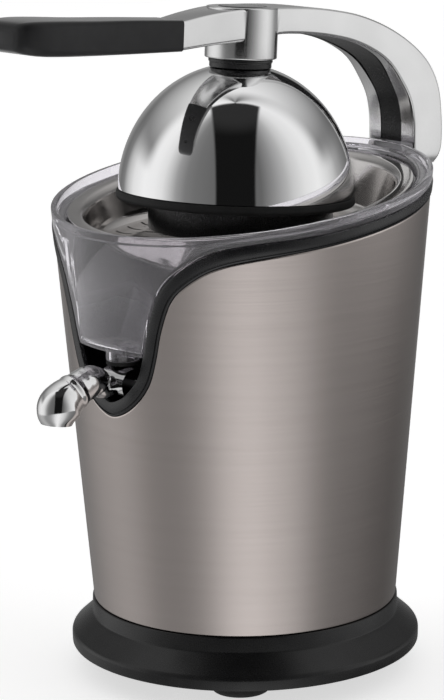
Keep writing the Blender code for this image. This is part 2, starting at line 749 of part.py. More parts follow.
def make_arm():
    sections = [eight_sided(u, v, half, ARM_EDGE) for u, v, half in ARM_STATIONS]
    arm = bar_loft("press_arm", sections, Finish.SATIN, arm_pivot)
    hub_base, hub_top = 0.3048, 0.3308
    hub = rod("hub_body", 0.0181, (0, DOME_Y, hub_base), (0, DOME_Y, hub_top), None, arm_pivot, sides=36)
    boolean(arm, hub, "UNION")
    boolean(arm, box("tang", (-0.0070, -0.1200, 0.3132), (0.0070, -0.0480, 0.3212), None, arm_pivot), "UNION")
    recess = rod("cap_recess", 0.0121, (0, DOME_Y, 0.3292), (0, DOME_Y, 0.3400), None, arm_pivot, sides=32)
    boolean(arm, recess)
    thread = rod("hub_thread", 0.0023, (0, DOME_Y, 0.3000), (0, DOME_Y, 0.3190), None, arm_pivot, sides=16)
    boolean(arm, thread)
    slot_half = Vector((CLEVIS_HALF, 0, 0))
    boolean(arm, rod("clevis_pocket", 0.0091, ARM_PIVOT - slot_half, ARM_PIVOT + slot_half, None, arm_pivot))
    for name, inner, outer, top in (
        ("front_slot", 0.1000, ARM_PIVOT.y, CLEVIS_FRONT_TOP),
        ("rear_slot", ARM_PIVOT.y - 0.0010, 0.1400, CLEVIS_REAR_TOP),
    ):
        boolean(arm, box(name, (-CLEVIS_HALF, inner, 0.2400), (CLEVIS_HALF, outer, top), None, arm_pivot))
    side = Vector((CHANNEL_HALF, 0, 0))
    channel = []
    for upper, lower, _ in ARM_STATIONS[7:13]:
        foot = Vector((0, *lower))
        inward = (Vector((0, *upper)) - foot).normalized()
        low, high = foot - inward * 0.006, foot + inward * CHANNEL_DEPTH
        channel.append([low - side, low + side, high + side, high - side])
    boolean(arm, bar_loft("inner_channel", channel, None, arm_pivot))

    def on_hinge(name, radius, left, right, finish=None):
        start, end = (ARM_PIVOT + Vector((x, 0, 0)) for x in (left, right))
        return rod(name, radius, start, end, finish, arm_pivot)

    boolean(arm, on_hinge("pin_bore", 0.0033, -0.0300, 0.0158))
    boolean(arm, on_hinge("cap_bore", 0.0063, -0.0300, -0.0148))
    on_hinge("hinge_pin", 0.0030, -0.0146, 0.0155, Finish.ZINC)
    on_hinge("hinge_cap", 0.0060, -0.0172, -0.0151, Finish.SATIN)
    rod("hub_cap", 0.0118, (0, DOME_Y, 0.3295), (0, DOME_Y, 0.3306), Finish.BLACK, arm_pivot, sides=32)
    return arm


GRIP_STATIONS = (  # y, top, bottom, half width
    (-0.0503, 0.3250, 0.3097, 0.0116), (-0.0800, 0.3256, 0.3093, 0.0124), (-0.1050, 0.3258, 0.3092, 0.0142),
    (-0.1270, 0.3263, 0.3094, 0.0168), (-0.1400, 0.3263, 0.3098, 0.0172), (-0.1480, 0.3256, 0.3108, 0.0146),
    (-0.1523, 0.3225, 0.3135, 0.0085),
)  # fmt: skip


def make_grip(arm):
    sections = [eight_sided((y, top), (y, low), half, 0.0042) for y, top, low, half in GRIP_STATIONS]
    grip = bar_loft("grip", sections, Finish.BLACK, arm_pivot)
    room = box("tang_room", (-0.0073, -0.1203, 0.3129), (0.0073, -0.0400, 0.3215), None, arm_pivot)
    boolean(grip, room)
    for number, y in enumerate((-0.066, -0.106), 1):
        bore = rod(f"grip_bore_{number}", 0.0016, (0, y, 0.3000), (0, y, 0.3195), None, arm_pivot, sides=12)
        head = rod(f"grip_head_{number}", 0.0033, (0, y, 0.3000), (0, y, 0.3112), None, arm_pivot, sides=16)
        boolean(grip, bore)
        boolean(grip, head)
        boolean(arm, bore)
        turned(
            f"grip_screw_{number}",
            [
                (0, 0.3190), (0.0012, 0.3190), (0.0012, 0.3109), (0.0029, 0.3109), (0.0029, 0.3098), (0, 0.3096),
            ],
            Finish.ZINC,
            arm_pivot,
            at=(0, y, 0),
            steps=12,
        )  # fmt: skip
    return grip


def dome_profile(inset, low_angle, high_angle, count):
    """Points on the dome's curve, or inside it by the inset, by angle above the edge."""
    points = []
    for step in range(count + 1):
        turn = math.radians(mix(low_angle, high_angle, step / count))
        height = DOME_EDGE_Z + (DOME_RISE - inset) * math.sin(turn)
        points.append(((DOME_R - inset) * math.cos(turn), height))
    return points


def dome_shell(name, outer, inner, finish, rows, steps):
    """A shell between two insets from the dome's curve, with a hole for the screw at the top."""
    top_outer = math.degrees(math.acos(DOME_HOLE_R / (DOME_R - outer)))
    top_inner = math.degrees(math.acos(DOME_HOLE_R / (DOME_R - inner)))
    profile = dome_profile(outer, top_outer, 0, rows) + dome_profile(inner, 0, top_inner, rows)
    return turned(name, profile, finish, arm_pivot, at=(0, DOME_Y, 0), steps=steps)


def make_dome():
    dome_shell("dome", 0, 0.0010, Finish.CHROME, 7, 36)
    dome_shell("dome_liner", 0.0020, 0.0038, Finish.BLACK, 4, 36)
    turned(
        "dome_gasket",
        [
            (0.0598, 0.2377), (0.0604, 0.2345), (0.0596, 0.2332), (0.0560, 0.2332), (0.0558, 0.2377),
        ],
        Finish.RUBBER,
        arm_pivot,
        at=(0, DOME_Y, 0),
        steps=36,
    )  # fmt: skip
    turned(
        "dome_collar",
        [(0.0161, 0.3045), (0.0161, 0.3003), (0.0062, 0.3022), (0.0062, 0.3045)],
        Finish.BLACK,
        arm_pivot,
        at=(0, DOME_Y, 0),
        steps=24,
    )
    turned(
        "dome_screw",
        [(0, 0.3160), (0.0020, 0.3160), (0.0020, 0.2972), (0.0052, 0.2972), (0.0052, 0.2942), (0, 0.2936)],
        Finish.ZINC,
        arm_pivot,
        at=(0, DOME_Y, 0),
        steps=16,
    )


# Drive: motor, two-stage gear train, sprung shaft and switch


def gear(name, teeth, low, high, bore_r, finish, parent=None, at=(0, 0)):
    """A spur gear with a tooth centred on +X."""
    pitch_r = GEAR_MODULE * teeth / 2
    root_r, tip_r = pitch_r - 1.15 * GEAR_MODULE, pitch_r + 0.85 * GEAR_MODULE
    pitch = 2 * math.pi / teeth
    bm = bmesh.new()
    outline = []
    for tooth in range(teeth):
        for radius, share in ((root_r, -0.30), (tip_r, -0.13), (tip_r, 0.13), (root_r, 0.30)):
            turn = pitch * (tooth + share)
            outline.append((at[0] + radius * math.cos(turn), at[1] + radius * math.sin(turn)))
    rows = [[bm.verts.new((x, y, z)) for x, y in outline] for z in (low, high)]
    for i in range(len(outline)):
        j = (i + 1) % len(outline)
        bm.faces.new((rows[0][i], rows[0][j], rows[1][j], rows[1][i]))
    bm.faces.new(reversed(rows[0]))
    bm.faces.new(rows[1])
    made = object_from(name, bm, finish, parent, smooth=False)
    if bore_r:
        bore = rod(f"{name}_bore", bore_r, (*at, low - 0.01), (*at, high + 0.01), None, parent)
        boolean(made, bore)
    return made


def make_gears():
    gear("output_gear", OUTPUT_TEETH, 0.1760, 0.1830, SHAFT_R + GAP, Finish.NYLON)
    idler = gear("idler_gear", IDLER_TEETH, 0.1640, 0.1695, None, Finish.NYLON, idler_axis, IDLER_AT)
    pinion = gear("idler_pinion_body", IDLER_PINION_TEETH, 0.1690, 0.1845, None, None, idler_axis, IDLER_AT)
    boolean(idler, pinion, "UNION")
    boolean(idler, rod("idler_bore", 0.00215, (*IDLER_AT, 0.150), (*IDLER_AT, 0.195), None, idler_axis))
    gear("motor_pinion", ROTOR_TEETH, 0.1615, 0.1705, 0.0023, Finish.ZINC)
    rod("idler_axle", 0.0020, (*IDLER_AT, 0.1580), (*IDLER_AT, 0.1896), Finish.ZINC, sides=20)


def make_shaft():
    shaft = turned(
        "drive_shaft",
        [
            (0, 0.2440), (0.0046, 0.2440), (0.0046, 0.2310), (SHAFT_R, 0.2300), (SHAFT_R, 0.2175),
            (0.0060, 0.2175), (0.0060, 0.2163), (SHAFT_R, 0.2163), (SHAFT_R, 0.1745), (0, 0.1745),
        ],
        Finish.ZINC,
        steps=18,
    )  # fmt: skip
    boolean(shaft, rod("shaft_flats", 0.0052, (0, 0, 0.2325), (0, 0, SHAFT_TOP), None, sides=6), "UNION")
    ring = [(0.0066, 0.2160), (0.0066, 0.2146), (0.0042, 0.2146), (0.0042, 0.2160)]
    turned("thrust_washer", ring, Finish.ZINC, steps=16)
    lower = [(0.0065, 0.1958), (0.0065, 0.1903), (0.0042, 0.1903), (0.0042, 0.1958)]
    turned("shaft_bush_lower", lower, Finish.NYLON, steps=16)
    upper = [(0.0065, 0.2255), (0.0065, 0.2205), (0.0042, 0.2205), (0.0042, 0.2255)]
    turned("shaft_bush_upper", upper, Finish.NYLON, steps=16)
    seal = [(0.0100, 0.2290), (0.0100, 0.2263), (0.0042, 0.2263), (0.0042, 0.2275), (0.0058, 0.2290)]
    turned("shaft_seal", seal, Finish.RUBBER, steps=16)
    make_spring()
    return shaft


def make_spring():
    wire_r, coil_r, turns, per_turn, low, high = 0.00045, 0.0054, 4, 10, 0.1966, 0.2138
    curve = bpy.data.curves.new("return_spring", "CURVE")
    curve.dimensions = "3D"
    curve.bevel_depth = wire_r
    curve.bevel_resolution = 1
    curve.use_fill_caps = True
    spline = curve.splines.new("POLY")
    count = turns * per_turn
    spline.points.add(count)
    for step in range(count + 1):
        turn = 2 * math.pi * step / per_turn
        height = mix(low, high, step / count)
        spline.points[step].co = (coil_r * math.cos(turn), coil_r * math.sin(turn), height, 1)
    return place(bpy.data.objects.new("return_spring", curve), Finish.ZINC)


def make_gearbox():
    tray = box("gear_tray", (-0.0260, -0.0260, 0.1575), (0.0260, 0.0450, 0.1605), Finish.BLACK, bevel=0.0)
    posts = ((-0.0225, -0.0225), (0.0225, -0.0225), (-0.0225, 0.0415), (0.0225, 0.0415))
    for number, (x, y) in enumerate(posts):
        boolean(tray, rod(f"post_{number}", 0.0032, (x, y, 0.1590), (x, y, 0.1897), None, sides=16), "UNION")
    boolean(tray, rod("tray_hole", 0.0066, (0, 0, 0.150), (0, 0, 0.165), None))
    boolean(tray, rod("axle_hole", 0.0023, (*IDLER_AT, 0.150), (*IDLER_AT, 0.165), None, sides=20))
    switch = box("microswitch", (-0.0175, -0.0135, 0.1608), (-0.0068, -0.0045, 0.1722), Finish.BLACK)
    press = (-0.0110, -0.0085)
    boolean(switch, rod("switch_well", 0.0016, (*press, 0.1660), (*press, 0.1800), None, sides=16))
    rod("switch_plunger", 0.0012, (*press, 0.1695), (*press, 0.1757), Finish.RUBBER, sides=16)
    return tray


def make_motor():
    turned(
        "motor_can",
        [
            (0.0270, 0.1572), (0.0270, 0.1010), (0.0060, 0.1010), (0.0060, 0.1035), (0.0245, 0.1035),
            (0.0245, 0.1545), (0.0060, 0.1545), (0.0060, 0.1572),
        ],
        Finish.ZINC,
        steps=24,
    )  # fmt: skip
    for name, low, high in (("motor_bearing_upper", 0.1525, 0.1572), ("motor_bearing_lower", 0.1008, 0.1055)):
        turned(name, [(0.0057, high), (0.0057, low), (0.0022, low), (0.0022, high)], Finish.NYLON, steps=16)
    turned(
        "motor_rotor",
        [
            (0, 0.1705), (0.0020, 0.1705), (0.0020, 0.1490), (0.0120, 0.1480), (0.0120, 0.1400),
            (0.0215, 0.1390), (0.0215, 0.1180), (0.0100, 0.1170), (0.0100, 0.1090), (0.0020, 0.1080),
            (0.0020, 0.0990), (0, 0.0990),
        ],
        Finish.SATIN,
        steps=20,
    )  # fmt: skip


def make_notches(*pieces):
    """The bracket passes through the rear of the shell and the trim."""
    notch = box("bracket_notch", (-0.0121, 0.088, 0.2376), (0.0121, 0.110, 0.2640), None)
    for piece in pieces:
        boolean(piece, notch)


def main():
    make_base()
    shell = make_shell()
    trim = make_trim()
    make_housing()
    make_notches(shell, trim)
    make_container()
    make_spout()
    make_strainer()
    make_reamer()
    make_bracket()
    arm = make_arm()
    make_grip(arm)
    make_dome()
    make_gears()
    make_shaft()
    make_gearbox()
    make_motor()
    bpy.context.view_layer.update()


main()
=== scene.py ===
"""Looks for the lever citrus press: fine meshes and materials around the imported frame. Metres, +Z up.
The body's axis is vertical through AXIS. The spout and the lever point to -Y, and the arm is hinged at +Y.
Shapes are drawn about the body's axis and moved to AXIS at the end of each piece."""

import math

import bmesh
import bpy
from mathutils import Matrix, Vector


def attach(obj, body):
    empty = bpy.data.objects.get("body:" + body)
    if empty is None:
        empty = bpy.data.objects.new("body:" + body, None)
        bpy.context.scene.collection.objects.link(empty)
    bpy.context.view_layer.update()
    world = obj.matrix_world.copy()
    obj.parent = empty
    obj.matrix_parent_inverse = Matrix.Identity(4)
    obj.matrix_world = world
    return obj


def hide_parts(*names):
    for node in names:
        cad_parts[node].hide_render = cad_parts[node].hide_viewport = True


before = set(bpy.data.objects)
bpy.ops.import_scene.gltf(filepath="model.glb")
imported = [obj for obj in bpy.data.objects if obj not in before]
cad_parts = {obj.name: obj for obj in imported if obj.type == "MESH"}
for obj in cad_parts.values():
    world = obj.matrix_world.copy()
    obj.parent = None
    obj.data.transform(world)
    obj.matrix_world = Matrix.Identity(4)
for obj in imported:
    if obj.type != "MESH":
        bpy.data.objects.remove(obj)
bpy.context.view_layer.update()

# Driving dimensions, the same as the CAD's
AXIS = Vector((0, 0.0095, 0))
BODY_R = 0.0781
BODY_BOTTOM = 0.0358
BODY_TAPER = 0.084
RIM_HEIGHT = 0.2491
RIM_SLOPE = 0.125
LIP_HEIGHT = 0.2451
LIP_R = 0.0872
FLOOR_HEIGHT = 0.203
FLOOR_SLOPE = 0.075
POCKET_BOTTOM = 0.177
CONTAINER_WALL = 0.0019
CONTAINER_GAP = 0.0003  # how far its band stands proud of the body's cone
CONTAINER_RIM = 0.0023
OUTLET_Y = -0.079
SPOUT_PIVOT = Vector((0, -0.0790, 0.1600))
ARM_PIVOT = Vector((0, 0.1183, 0.2585))
ARM_REST_TILT = math.radians(3.8)
DOME_Y = -0.002
DOME_R = 0.0594
DOME_RISE = 0.0640
DOME_EDGE_Z = 0.238

# Upper edge of the steel shell: (degrees from the front, height). It dips round the spout.
STEEL_EDGE = (
    (0, 0.1443), (7, 0.1477), (13, 0.1550), (17.5, 0.1645), (20.3, 0.1770), (22.8, 0.1925),
    (26.5, 0.2070), (32, 0.2160), (40, 0.2236), (52, 0.2283), (78, 0.2336), (110, 0.2405),
    (145, 0.2478), (180, 0.2505),
)  # fmt: skip
TRIM_WIDTH_FRONT = 0.0072
TRIM_WIDTH_REAR = 0.0056


# Geometry helpers


def mix(a, b, share):
    return a + (b - a) * share


def smooth_step(value, low, high):
    share = min(1.0, max(0.0, (value - low) / (high - low)))
    return share * share * (3 - 2 * share)


def polar(radius, degrees, height):
    """A point at an angle from the front (-Y), growing towards +X."""
    turn = math.radians(degrees)
    return Vector((radius * math.sin(turn), -radius * math.cos(turn), height))


def body_r(height):
    """Radius of the body's cone."""
    return BODY_R + BODY_TAPER * (height - BODY_BOTTOM)


def catmull(p0, p1, p2, p3, t):
    """A point on the smooth curve between p1 and p2."""
    return 0.5 * (
        2 * p1
        + (p2 - p0) * t
        + (2 * p0 - 5 * p1 + 4 * p2 - p3) * t * t
        + (3 * p1 - p0 - 3 * p2 + p3) * t * t * t
    )


def smooth_path(points, per_span):
    """A smooth curve through the points, which may be vectors of any size."""
    ends = [2 * points[0] - points[1]] + list(points) + [2 * points[-1] - points[-2]]
    curve = []
    for i in range(1, len(ends) - 2):
        for step in range(per_span):
            curve.append(catmull(*ends[i - 1 : i + 3], step / per_span))
    return curve + [points[-1]]


def edge_curves():
    """Lower and upper edge of the trim, right half, front to rear, as lists of (degrees, height)."""
    reach = BODY_R * 1.15
    points = [Vector((math.radians(a) * reach, z)) for a, z in STEEL_EDGE]
    points = [Vector((-points[1].x, points[1].y))] + points
    points.append(Vector((2 * points[-1].x - points[-2].x, points[-2].y)))
    curve = []
    for i in range(1, len(points) - 2):
        count = max(6, math.ceil((points[i + 1].x - points[i].x) / reach / math.radians(1.5)))
        for step in range(count):
            curve.append(catmull(*points[i - 1 : i + 3], step / count))
    curve.append(points[-2])
    lower, upper = [], []
    for i, point in enumerate(curve):
        ahead = curve[min(i + 1, len(curve) - 1)]
        behind = curve[max(i - 1, 0)]
        along = Vector((1, 0)) if i in (0, len(curve) - 1) else (ahead - behind).normalized()
        angle = math.degrees(point.x / reach)
        width = mix(TRIM_WIDTH_FRONT, TRIM_WIDTH_REAR, smooth_step(angle, 40, 80))
        raised = point + Vector((-along.y, along.x)) * width
        lower.append((angle, point.y))
        upper.append((math.degrees(raised.x / reach), raised.y))
    return lower, upper


LOWER_EDGE, UPPER_EDGE = edge_curves()


def both_sides(half):
    """Mirrors a list of (degrees, height) about the front, as one closed turn."""
    return half + [(-a, z) for a, z in reversed(half[1:-1])]


def height_at(edge, degrees):
    """Height of an edge at an angle, between its points."""
    degrees = abs((degrees + 180) % 360 - 180)
    for (a0, z0), (a1, z1) in zip(edge, edge[1:]):
        if a0 <= degrees <= a1:
            return mix(z0, z1, (degrees - a0) / max(a1 - a0, 1e-9))
    return edge[-1][1]


def tilted_z(height, radius, angle):
    """A height on a plane parallel to the tilted rim, at an angle from the front."""
    return height - RIM_SLOPE * radius * math.cos(math.radians(angle))


def rounded(points, radii, steps=4, closed=True):
    """A flat outline with each corner turned into an arc. A radius of 0 keeps the corner."""
    if isinstance(radii, (int, float)):
        radii = [radii] * len(points)
    count = len(points)
    outline = []
    for i, (point, radius) in enumerate(zip(points, radii)):
        here = Vector(point)
        if not radius or (not closed and i in (0, count - 1)):
            outline.append(here)
            continue
        before, after = Vector(points[i - 1]), Vector(points[(i + 1) % count])
        to_before, to_after = (before - here), (after - here)
        cut = min(radius, 0.48 * to_before.length, 0.48 * to_after.length)
        start = here + to_before.normalized() * cut
        end = here + to_after.normalized() * cut
        for step in range(steps + 1):
            t = step / steps
            outline.append(start * (1 - t) ** 2 + here * 2 * t * (1 - t) + end * t * t)
    return outline


# Mesh makers


def finish_mesh(name, bm, angle=35, place=AXIS):
    mesh = bpy.data.meshes.new(name)
    bmesh.ops.remove_doubles(bm, verts=bm.verts, dist=1e-6)
    bmesh.ops.recalc_face_normals(bm, faces=bm.faces)
    bm.to_mesh(mesh)
    bm.free()
    mesh.shade_smooth()
    mesh.set_sharp_from_angle(angle=math.radians(angle))
    mesh.transform(Matrix.Translation(place))
    obj = bpy.data.objects.new(name, mesh)
    bpy.context.scene.collection.objects.link(obj)
    return obj


def skin(bm, rows, closed_rows=False):
    """Quads between rows of vertices. Each row is a closed loop."""
    pairs = list(zip(rows, rows[1:]))
    if closed_rows:
        pairs.append((rows[-1], rows[0]))
    for row, after in pairs:
        for i in range(len(row)):
            j = (i + 1) % len(row)
            bm.faces.new((row[i], row[j], after[j], after[i]))


def loft(name, sections, ring=False, angle=35):
    """Skins closed sections into a bar with flat ends, or into a ring round the axis."""
    bm = bmesh.new()
    rows = [[bm.verts.new(point) for point in section] for section in sections]
    skin(bm, rows, closed_rows=ring)
    if not ring:
        bm.faces.new(rows[0])
        bm.faces.new(rows[-1])
    return finish_mesh(name, bm, angle)


def lathe(name, profile, steps=96, centre=(0, 0, 0)):
    """A closed (radius, height) outline turned about Z through centre. Points on the axis close the solid."""
    bm = bmesh.new()
    rows = []
    for step in range(steps):
        rows.append([bm.verts.new(polar(r, 360 * step / steps, z)) for r, z in profile])
    skin(bm, rows, closed_rows=True)
    bmesh.ops.remove_doubles(bm, verts=bm.verts, dist=1e-7)
    slivers = [f for f in bm.faces if f.calc_area() < 1e-14]
    bmesh.ops.delete(bm, geom=slivers, context="FACES_ONLY")
    return finish_mesh(name, bm, place=AXIS + Vector(centre))


def block(low, high):
    """A box between two corners."""
    bm = bmesh.new()
    bmesh.ops.create_cube(bm, size=1)
    low, high = Vector(low), Vector(high)
    bmesh.ops.scale(bm, vec=high - low, verts=bm.verts)
    bmesh.ops.translate(bm, vec=(high + low) / 2, verts=bm.verts)
    return finish_mesh("cutter", bm)


def peg(radius, start, end, sides=48):
    """A cylinder between two points."""
    start, run = Vector(start), Vector(end) - Vector(start)
    bm = bmesh.new()
    bmesh.ops.create_cone(
        bm, cap_ends=True, segments=sides, radius1=radius, radius2=radius, depth=run.length
    )
    turn = Vector((0, 0, 1)).rotation_difference(run).to_matrix().to_4x4()
    bmesh.ops.transform(bm, matrix=Matrix.Translation(start + run / 2) @ turn, verts=bm.verts)
    return finish_mesh("cutter", bm)


def apply_modifiers(obj, angle=35):
    """Makes the modifiers' result the object's own mesh, with edges above an angle sharp."""
    graph = bpy.context.evaluated_depsgraph_get()
    made = bpy.data.meshes.new_from_object(obj.evaluated_get(graph))
    obj.modifiers.clear()
    obj.data = made
    made.set_sharp_from_angle(angle=math.radians(angle))
    return obj


def combine(obj, other, operation):
    modifier = obj.modifiers.new(operation.lower(), "BOOLEAN")
    modifier.operation = operation
    modifier.object = other
    apply_modifiers(obj)
    bpy.data.objects.remove(other)
    return obj


def cut(obj, cutter):
    """Takes a closed mesh's volume from another mesh, and removes the cutter."""
    return combine(obj, cutter, "DIFFERENCE")


def join(obj, other):
    """Adds a closed mesh to another mesh, as one solid."""
    return combine(obj, other, "UNION")


def ride(obj, body, *nodes, slot=None):
    """Puts a finished piece on its CAD body, in place of its CAD nodes."""
    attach(obj, body)
    if nodes:
        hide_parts(*nodes)
    return obj


def tilt_with_arm(obj):
    """The arm's pieces are drawn level, and rest tilted about the hinge."""
    pivot = Matrix.Translation(ARM_PIVOT + AXIS)
    obj.data.transform(pivot @ Matrix.Rotation(-ARM_REST_TILT, 4, "X") @ pivot.inverted())
    return obj


# Materials: each has its own fine structure in colour, roughness and relief


def node(tree, kind, **settings):
    made = tree.nodes.new(kind)
    for key, value in settings.items():
        setattr(made, key, value)
    return made


def grain(tree, scale, stretch=(1, 1, 1), detail=3.0):
    """Noise in the row frame, in units of 1 / scale metres, drawn out where stretch is small."""
    place = node(tree, "ShaderNodeTexCoord")
    mapping = node(tree, "ShaderNodeMapping")
    mapping.inputs["Scale"].default_value = [scale * s for s in stretch]
    noise = node(tree, "ShaderNodeTexNoise")
    noise.inputs["Scale"].default_value = 1.0
    noise.inputs["Detail"].default_value = detail
    tree.links.new(place.outputs["Object"], mapping.inputs["Vector"])
    tree.links.new(mapping.outputs["Vector"], noise.inputs["Vector"])
    return noise.outputs["Fac"]


def map_range(tree, value, start, end, low=0.0, high=1.0, easing="SMOOTHSTEP"):
    """Goes from low to high as the value goes from start to end."""
    ramp = node(tree, "ShaderNodeMapRange", interpolation_type=easing)
    for socket, number in zip(("From Min", "From Max", "To Min", "To Max"), (start, end, low, high)):
        ramp.inputs[socket].default_value = number
    tree.links.new(value, ramp.inputs["Value"])
    return ramp.outputs["Result"]


def spread(tree, factor, low, high):
    """Maps noise, which stays near 0.5, to a range."""
    return map_range(tree, factor, 0.3, 0.7, low, high, "LINEAR")


def blend(tree, factor, a, b):
    """Mixes two colours, each given as (red, green, blue) or as another node's output."""
    made = node(tree, "ShaderNodeMix", data_type="RGBA")
    tree.links.new(factor, made.inputs["Factor"])
    for name, colour in (("A", a), ("B", b)):
        if isinstance(colour, tuple):
            made.inputs[name].default_value = (*colour, 1)
        else:
            tree.links.new(colour, made.inputs[name])
    return made.outputs["Result"]


def relief(tree, factor, strength, distance):
    bump = node(tree, "ShaderNodeBump")
    bump.inputs["Strength"].default_value = strength
    bump.inputs["Distance"].default_value = distance
    tree.links.new(factor, bump.inputs["Height"])
    return bump.outputs["Normal"]


def surface(name, dark, light, roughness, scale, stretch=(1, 1, 1), bump=0.2, depth=1e-5, **sockets):
    """A Principled material whose colour, roughness and relief follow one fine noise and one coarse one."""
    material = bpy.data.materials.new(name)
    material.use_nodes = True
    tree = material.node_tree
    shader = tree.nodes["Principled BSDF"]
    fine = grain(tree, scale, stretch)
    coarse = grain(tree, scale * 0.06, stretch, detail=1.0)
    tree.links.new(blend(tree, spread(tree, coarse, 0, 1), dark, light), shader.inputs["Base Color"])
    tree.links.new(spread(tree, fine, *roughness), shader.inputs["Roughness"])
    tree.links.new(relief(tree, fine, bump, depth), shader.inputs["Normal"])
    for socket, value in sockets.items():
        shader.inputs[socket.replace("_", " ")].default_value = value
    return material


ROUND_BRUSH = (0.006, 0.006, 1)  # streaks that run round the body

STEEL = surface(
    "brushed_steel", (0.550, 0.495, 0.472), (0.565, 0.510, 0.487), (0.21, 0.27), 3200,
    ROUND_BRUSH, bump=0.03, depth=1e-5, Metallic=1.0,
)  # fmt: skip
CHROME = surface(
    "mirror_chrome", (0.84, 0.84, 0.845), (0.87, 0.87, 0.87), (0.03, 0.06), 260,
    bump=0.02, depth=1e-6, Metallic=1.0,
)  # fmt: skip
SATIN = surface(
    "satin_chrome", (0.73, 0.73, 0.73), (0.77, 0.77, 0.77), (0.15, 0.20), 900,
    bump=0.05, depth=3e-6, Metallic=1.0,
)  # fmt: skip
SPOUT_METAL = surface(
    "spout_chrome", (0.74, 0.74, 0.745), (0.80, 0.80, 0.80), (0.06, 0.10), 400,
    bump=0.04, depth=4e-6, Metallic=1.0,
)  # fmt: skip
BLACK = surface(
    "black_plastic", (0.007, 0.007, 0.0075), (0.011, 0.011, 0.0115), (0.26, 0.30), 1800,
    bump=0.05, depth=5e-6, Specular_IOR_Level=0.40,
)  # fmt: skip
TRIM = surface(
    "trim_plastic", (0.010, 0.010, 0.011), (0.014, 0.014, 0.015), (0.22, 0.30), 1800,
    bump=0.15, depth=1e-5, Specular_IOR_Level=0.5,
)  # fmt: skip
GRIP = surface(
    "grip_plastic", (0.016, 0.016, 0.017), (0.020, 0.020, 0.021), (0.38, 0.46), 2200,
    bump=0.20, depth=1e-5, Specular_IOR_Level=0.24, Sheen_Weight=0.6, Sheen_Roughness=0.3,
)  # fmt: skip
RUBBER = surface(
    "rubber", (0.014, 0.014, 0.014), (0.022, 0.022, 0.022), (0.6, 0.75), 1500,
    bump=0.4, depth=3e-5, Specular_IOR_Level=0.3,
)  # fmt: skip
SIEVE = surface(
    "strainer_steel", (0.52, 0.50, 0.49), (0.58, 0.565, 0.555), (0.08, 0.14), 700,
    (0.05, 0.05, 1), bump=0.04, depth=4e-6, Metallic=0.92,
)  # fmt: skip
NYLON = surface("nylon", (0.62, 0.60, 0.53), (0.70, 0.68, 0.61), (0.4, 0.5), 1200, bump=0.2)
ZINC = surface(
    "zinc_plate", (0.45, 0.45, 0.46), (0.58, 0.58, 0.58), (0.28, 0.42), 600,
    bump=0.15, depth=1e-5, Metallic=1.0,
)  # fmt: skip
MOTOR = surface(
    "motor_steel", (0.25, 0.25, 0.26), (0.36, 0.36, 0.37), (0.35, 0.5), 500,
    ROUND_BRUSH, bump=0.15, Metallic=1.0,
)  # fmt: skip


# Painted sheen: a pale colour mixed into the grip and its hub cap where they are seen edge-on
GRIP_PAINTED_SHEEN = (0.20, 0.20, 0.20)


def grazing(tree, start, end, low, high):
    """A number that changes from low to high as the surface turns edge-on to the viewer."""
    facing = node(tree, "ShaderNodeLayerWeight").outputs["Facing"]
    return map_range(tree, facing, start, end, low, high)


def paint_grip_sheen():
    """Paints a pale sheen into the soft grip's colour where it is seen edge-on, so its top face looks lit."""
    tree = GRIP.node_tree
    colour = tree.nodes["Principled BSDF"].inputs["Base Color"]
    plain = colour.links[0].from_socket
    # Painted sheen mask: 1 where the grip is seen edge-on
    painted_sheen_mask = grazing(tree, 0.5, 0.9, 0.0, 1.0)
    tree.links.new(blend(tree, painted_sheen_mask, plain, GRIP_PAINTED_SHEEN), colour)


def clear_material():
    """Lightly smoked clear moulding with a faint lilac cast, milkier where it is seen edge-on."""
    material = surface(
        "smoke_clear", (0.85, 0.83, 0.87), (0.87, 0.85, 0.89), (0.0, 0.012), 120,
        bump=0.01, depth=1e-6, IOR=1.46,
    )  # fmt: skip
    tree = material.node_tree
    weight = tree.nodes["Principled BSDF"].inputs["Transmission Weight"]
    tree.links.new(grazing(tree, 0.25, 0.9, 0.96, 0.72), weight)
    return material


paint_grip_sheen()
CLEAR = clear_material()

CAD_FINISH = {
    STEEL: ("steel_shell",),
    TRIM: ("rim_trim",),
    BLACK: ("base_ring", "base_plate", "inner_housing", "reamer", "dome_liner", "dome_collar", "gear_tray",
            "microswitch", "grip_screw_1", "grip_screw_2"),
    GRIP: ("grip", "hub_cap"),
    RUBBER: ("foot_1", "foot_2", "foot_3", "foot_4", "cable_inlet", "outlet_seal", "dome_gasket",
             "switch_plunger", "shaft_seal"),
    CLEAR: ("juice_container",),
    SIEVE: ("strainer",),
    CHROME: ("dome",),
    SATIN: ("press_arm", "hinge_cap"),
    SPOUT_METAL: ("spout",),
    NYLON: ("hinge_bush", "output_gear", "idler_gear", "motor_bearing_upper", "motor_bearing_lower",
            "shaft_bush_lower", "shaft_bush_upper"),
    MOTOR: ("motor_can", "motor_rotor"),
    ZINC: ("base_screw_1", "base_screw_2", "base_screw_3", "base_screw_4", "hinge_bracket", "spout_pin",
           "hinge_pin", "dome_screw", "drive_shaft", "idler_axle", "motor_pinion", "thrust_washer",
           "return_spring"),
}  # fmt: skip


def paint(obj, material):
    obj.data.materials.clear()
    obj.data.materials.append(material)
    return obj


for finish, names in CAD_FINISH.items():
    for name in names:
        paint(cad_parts[name], finish)


# Base and body


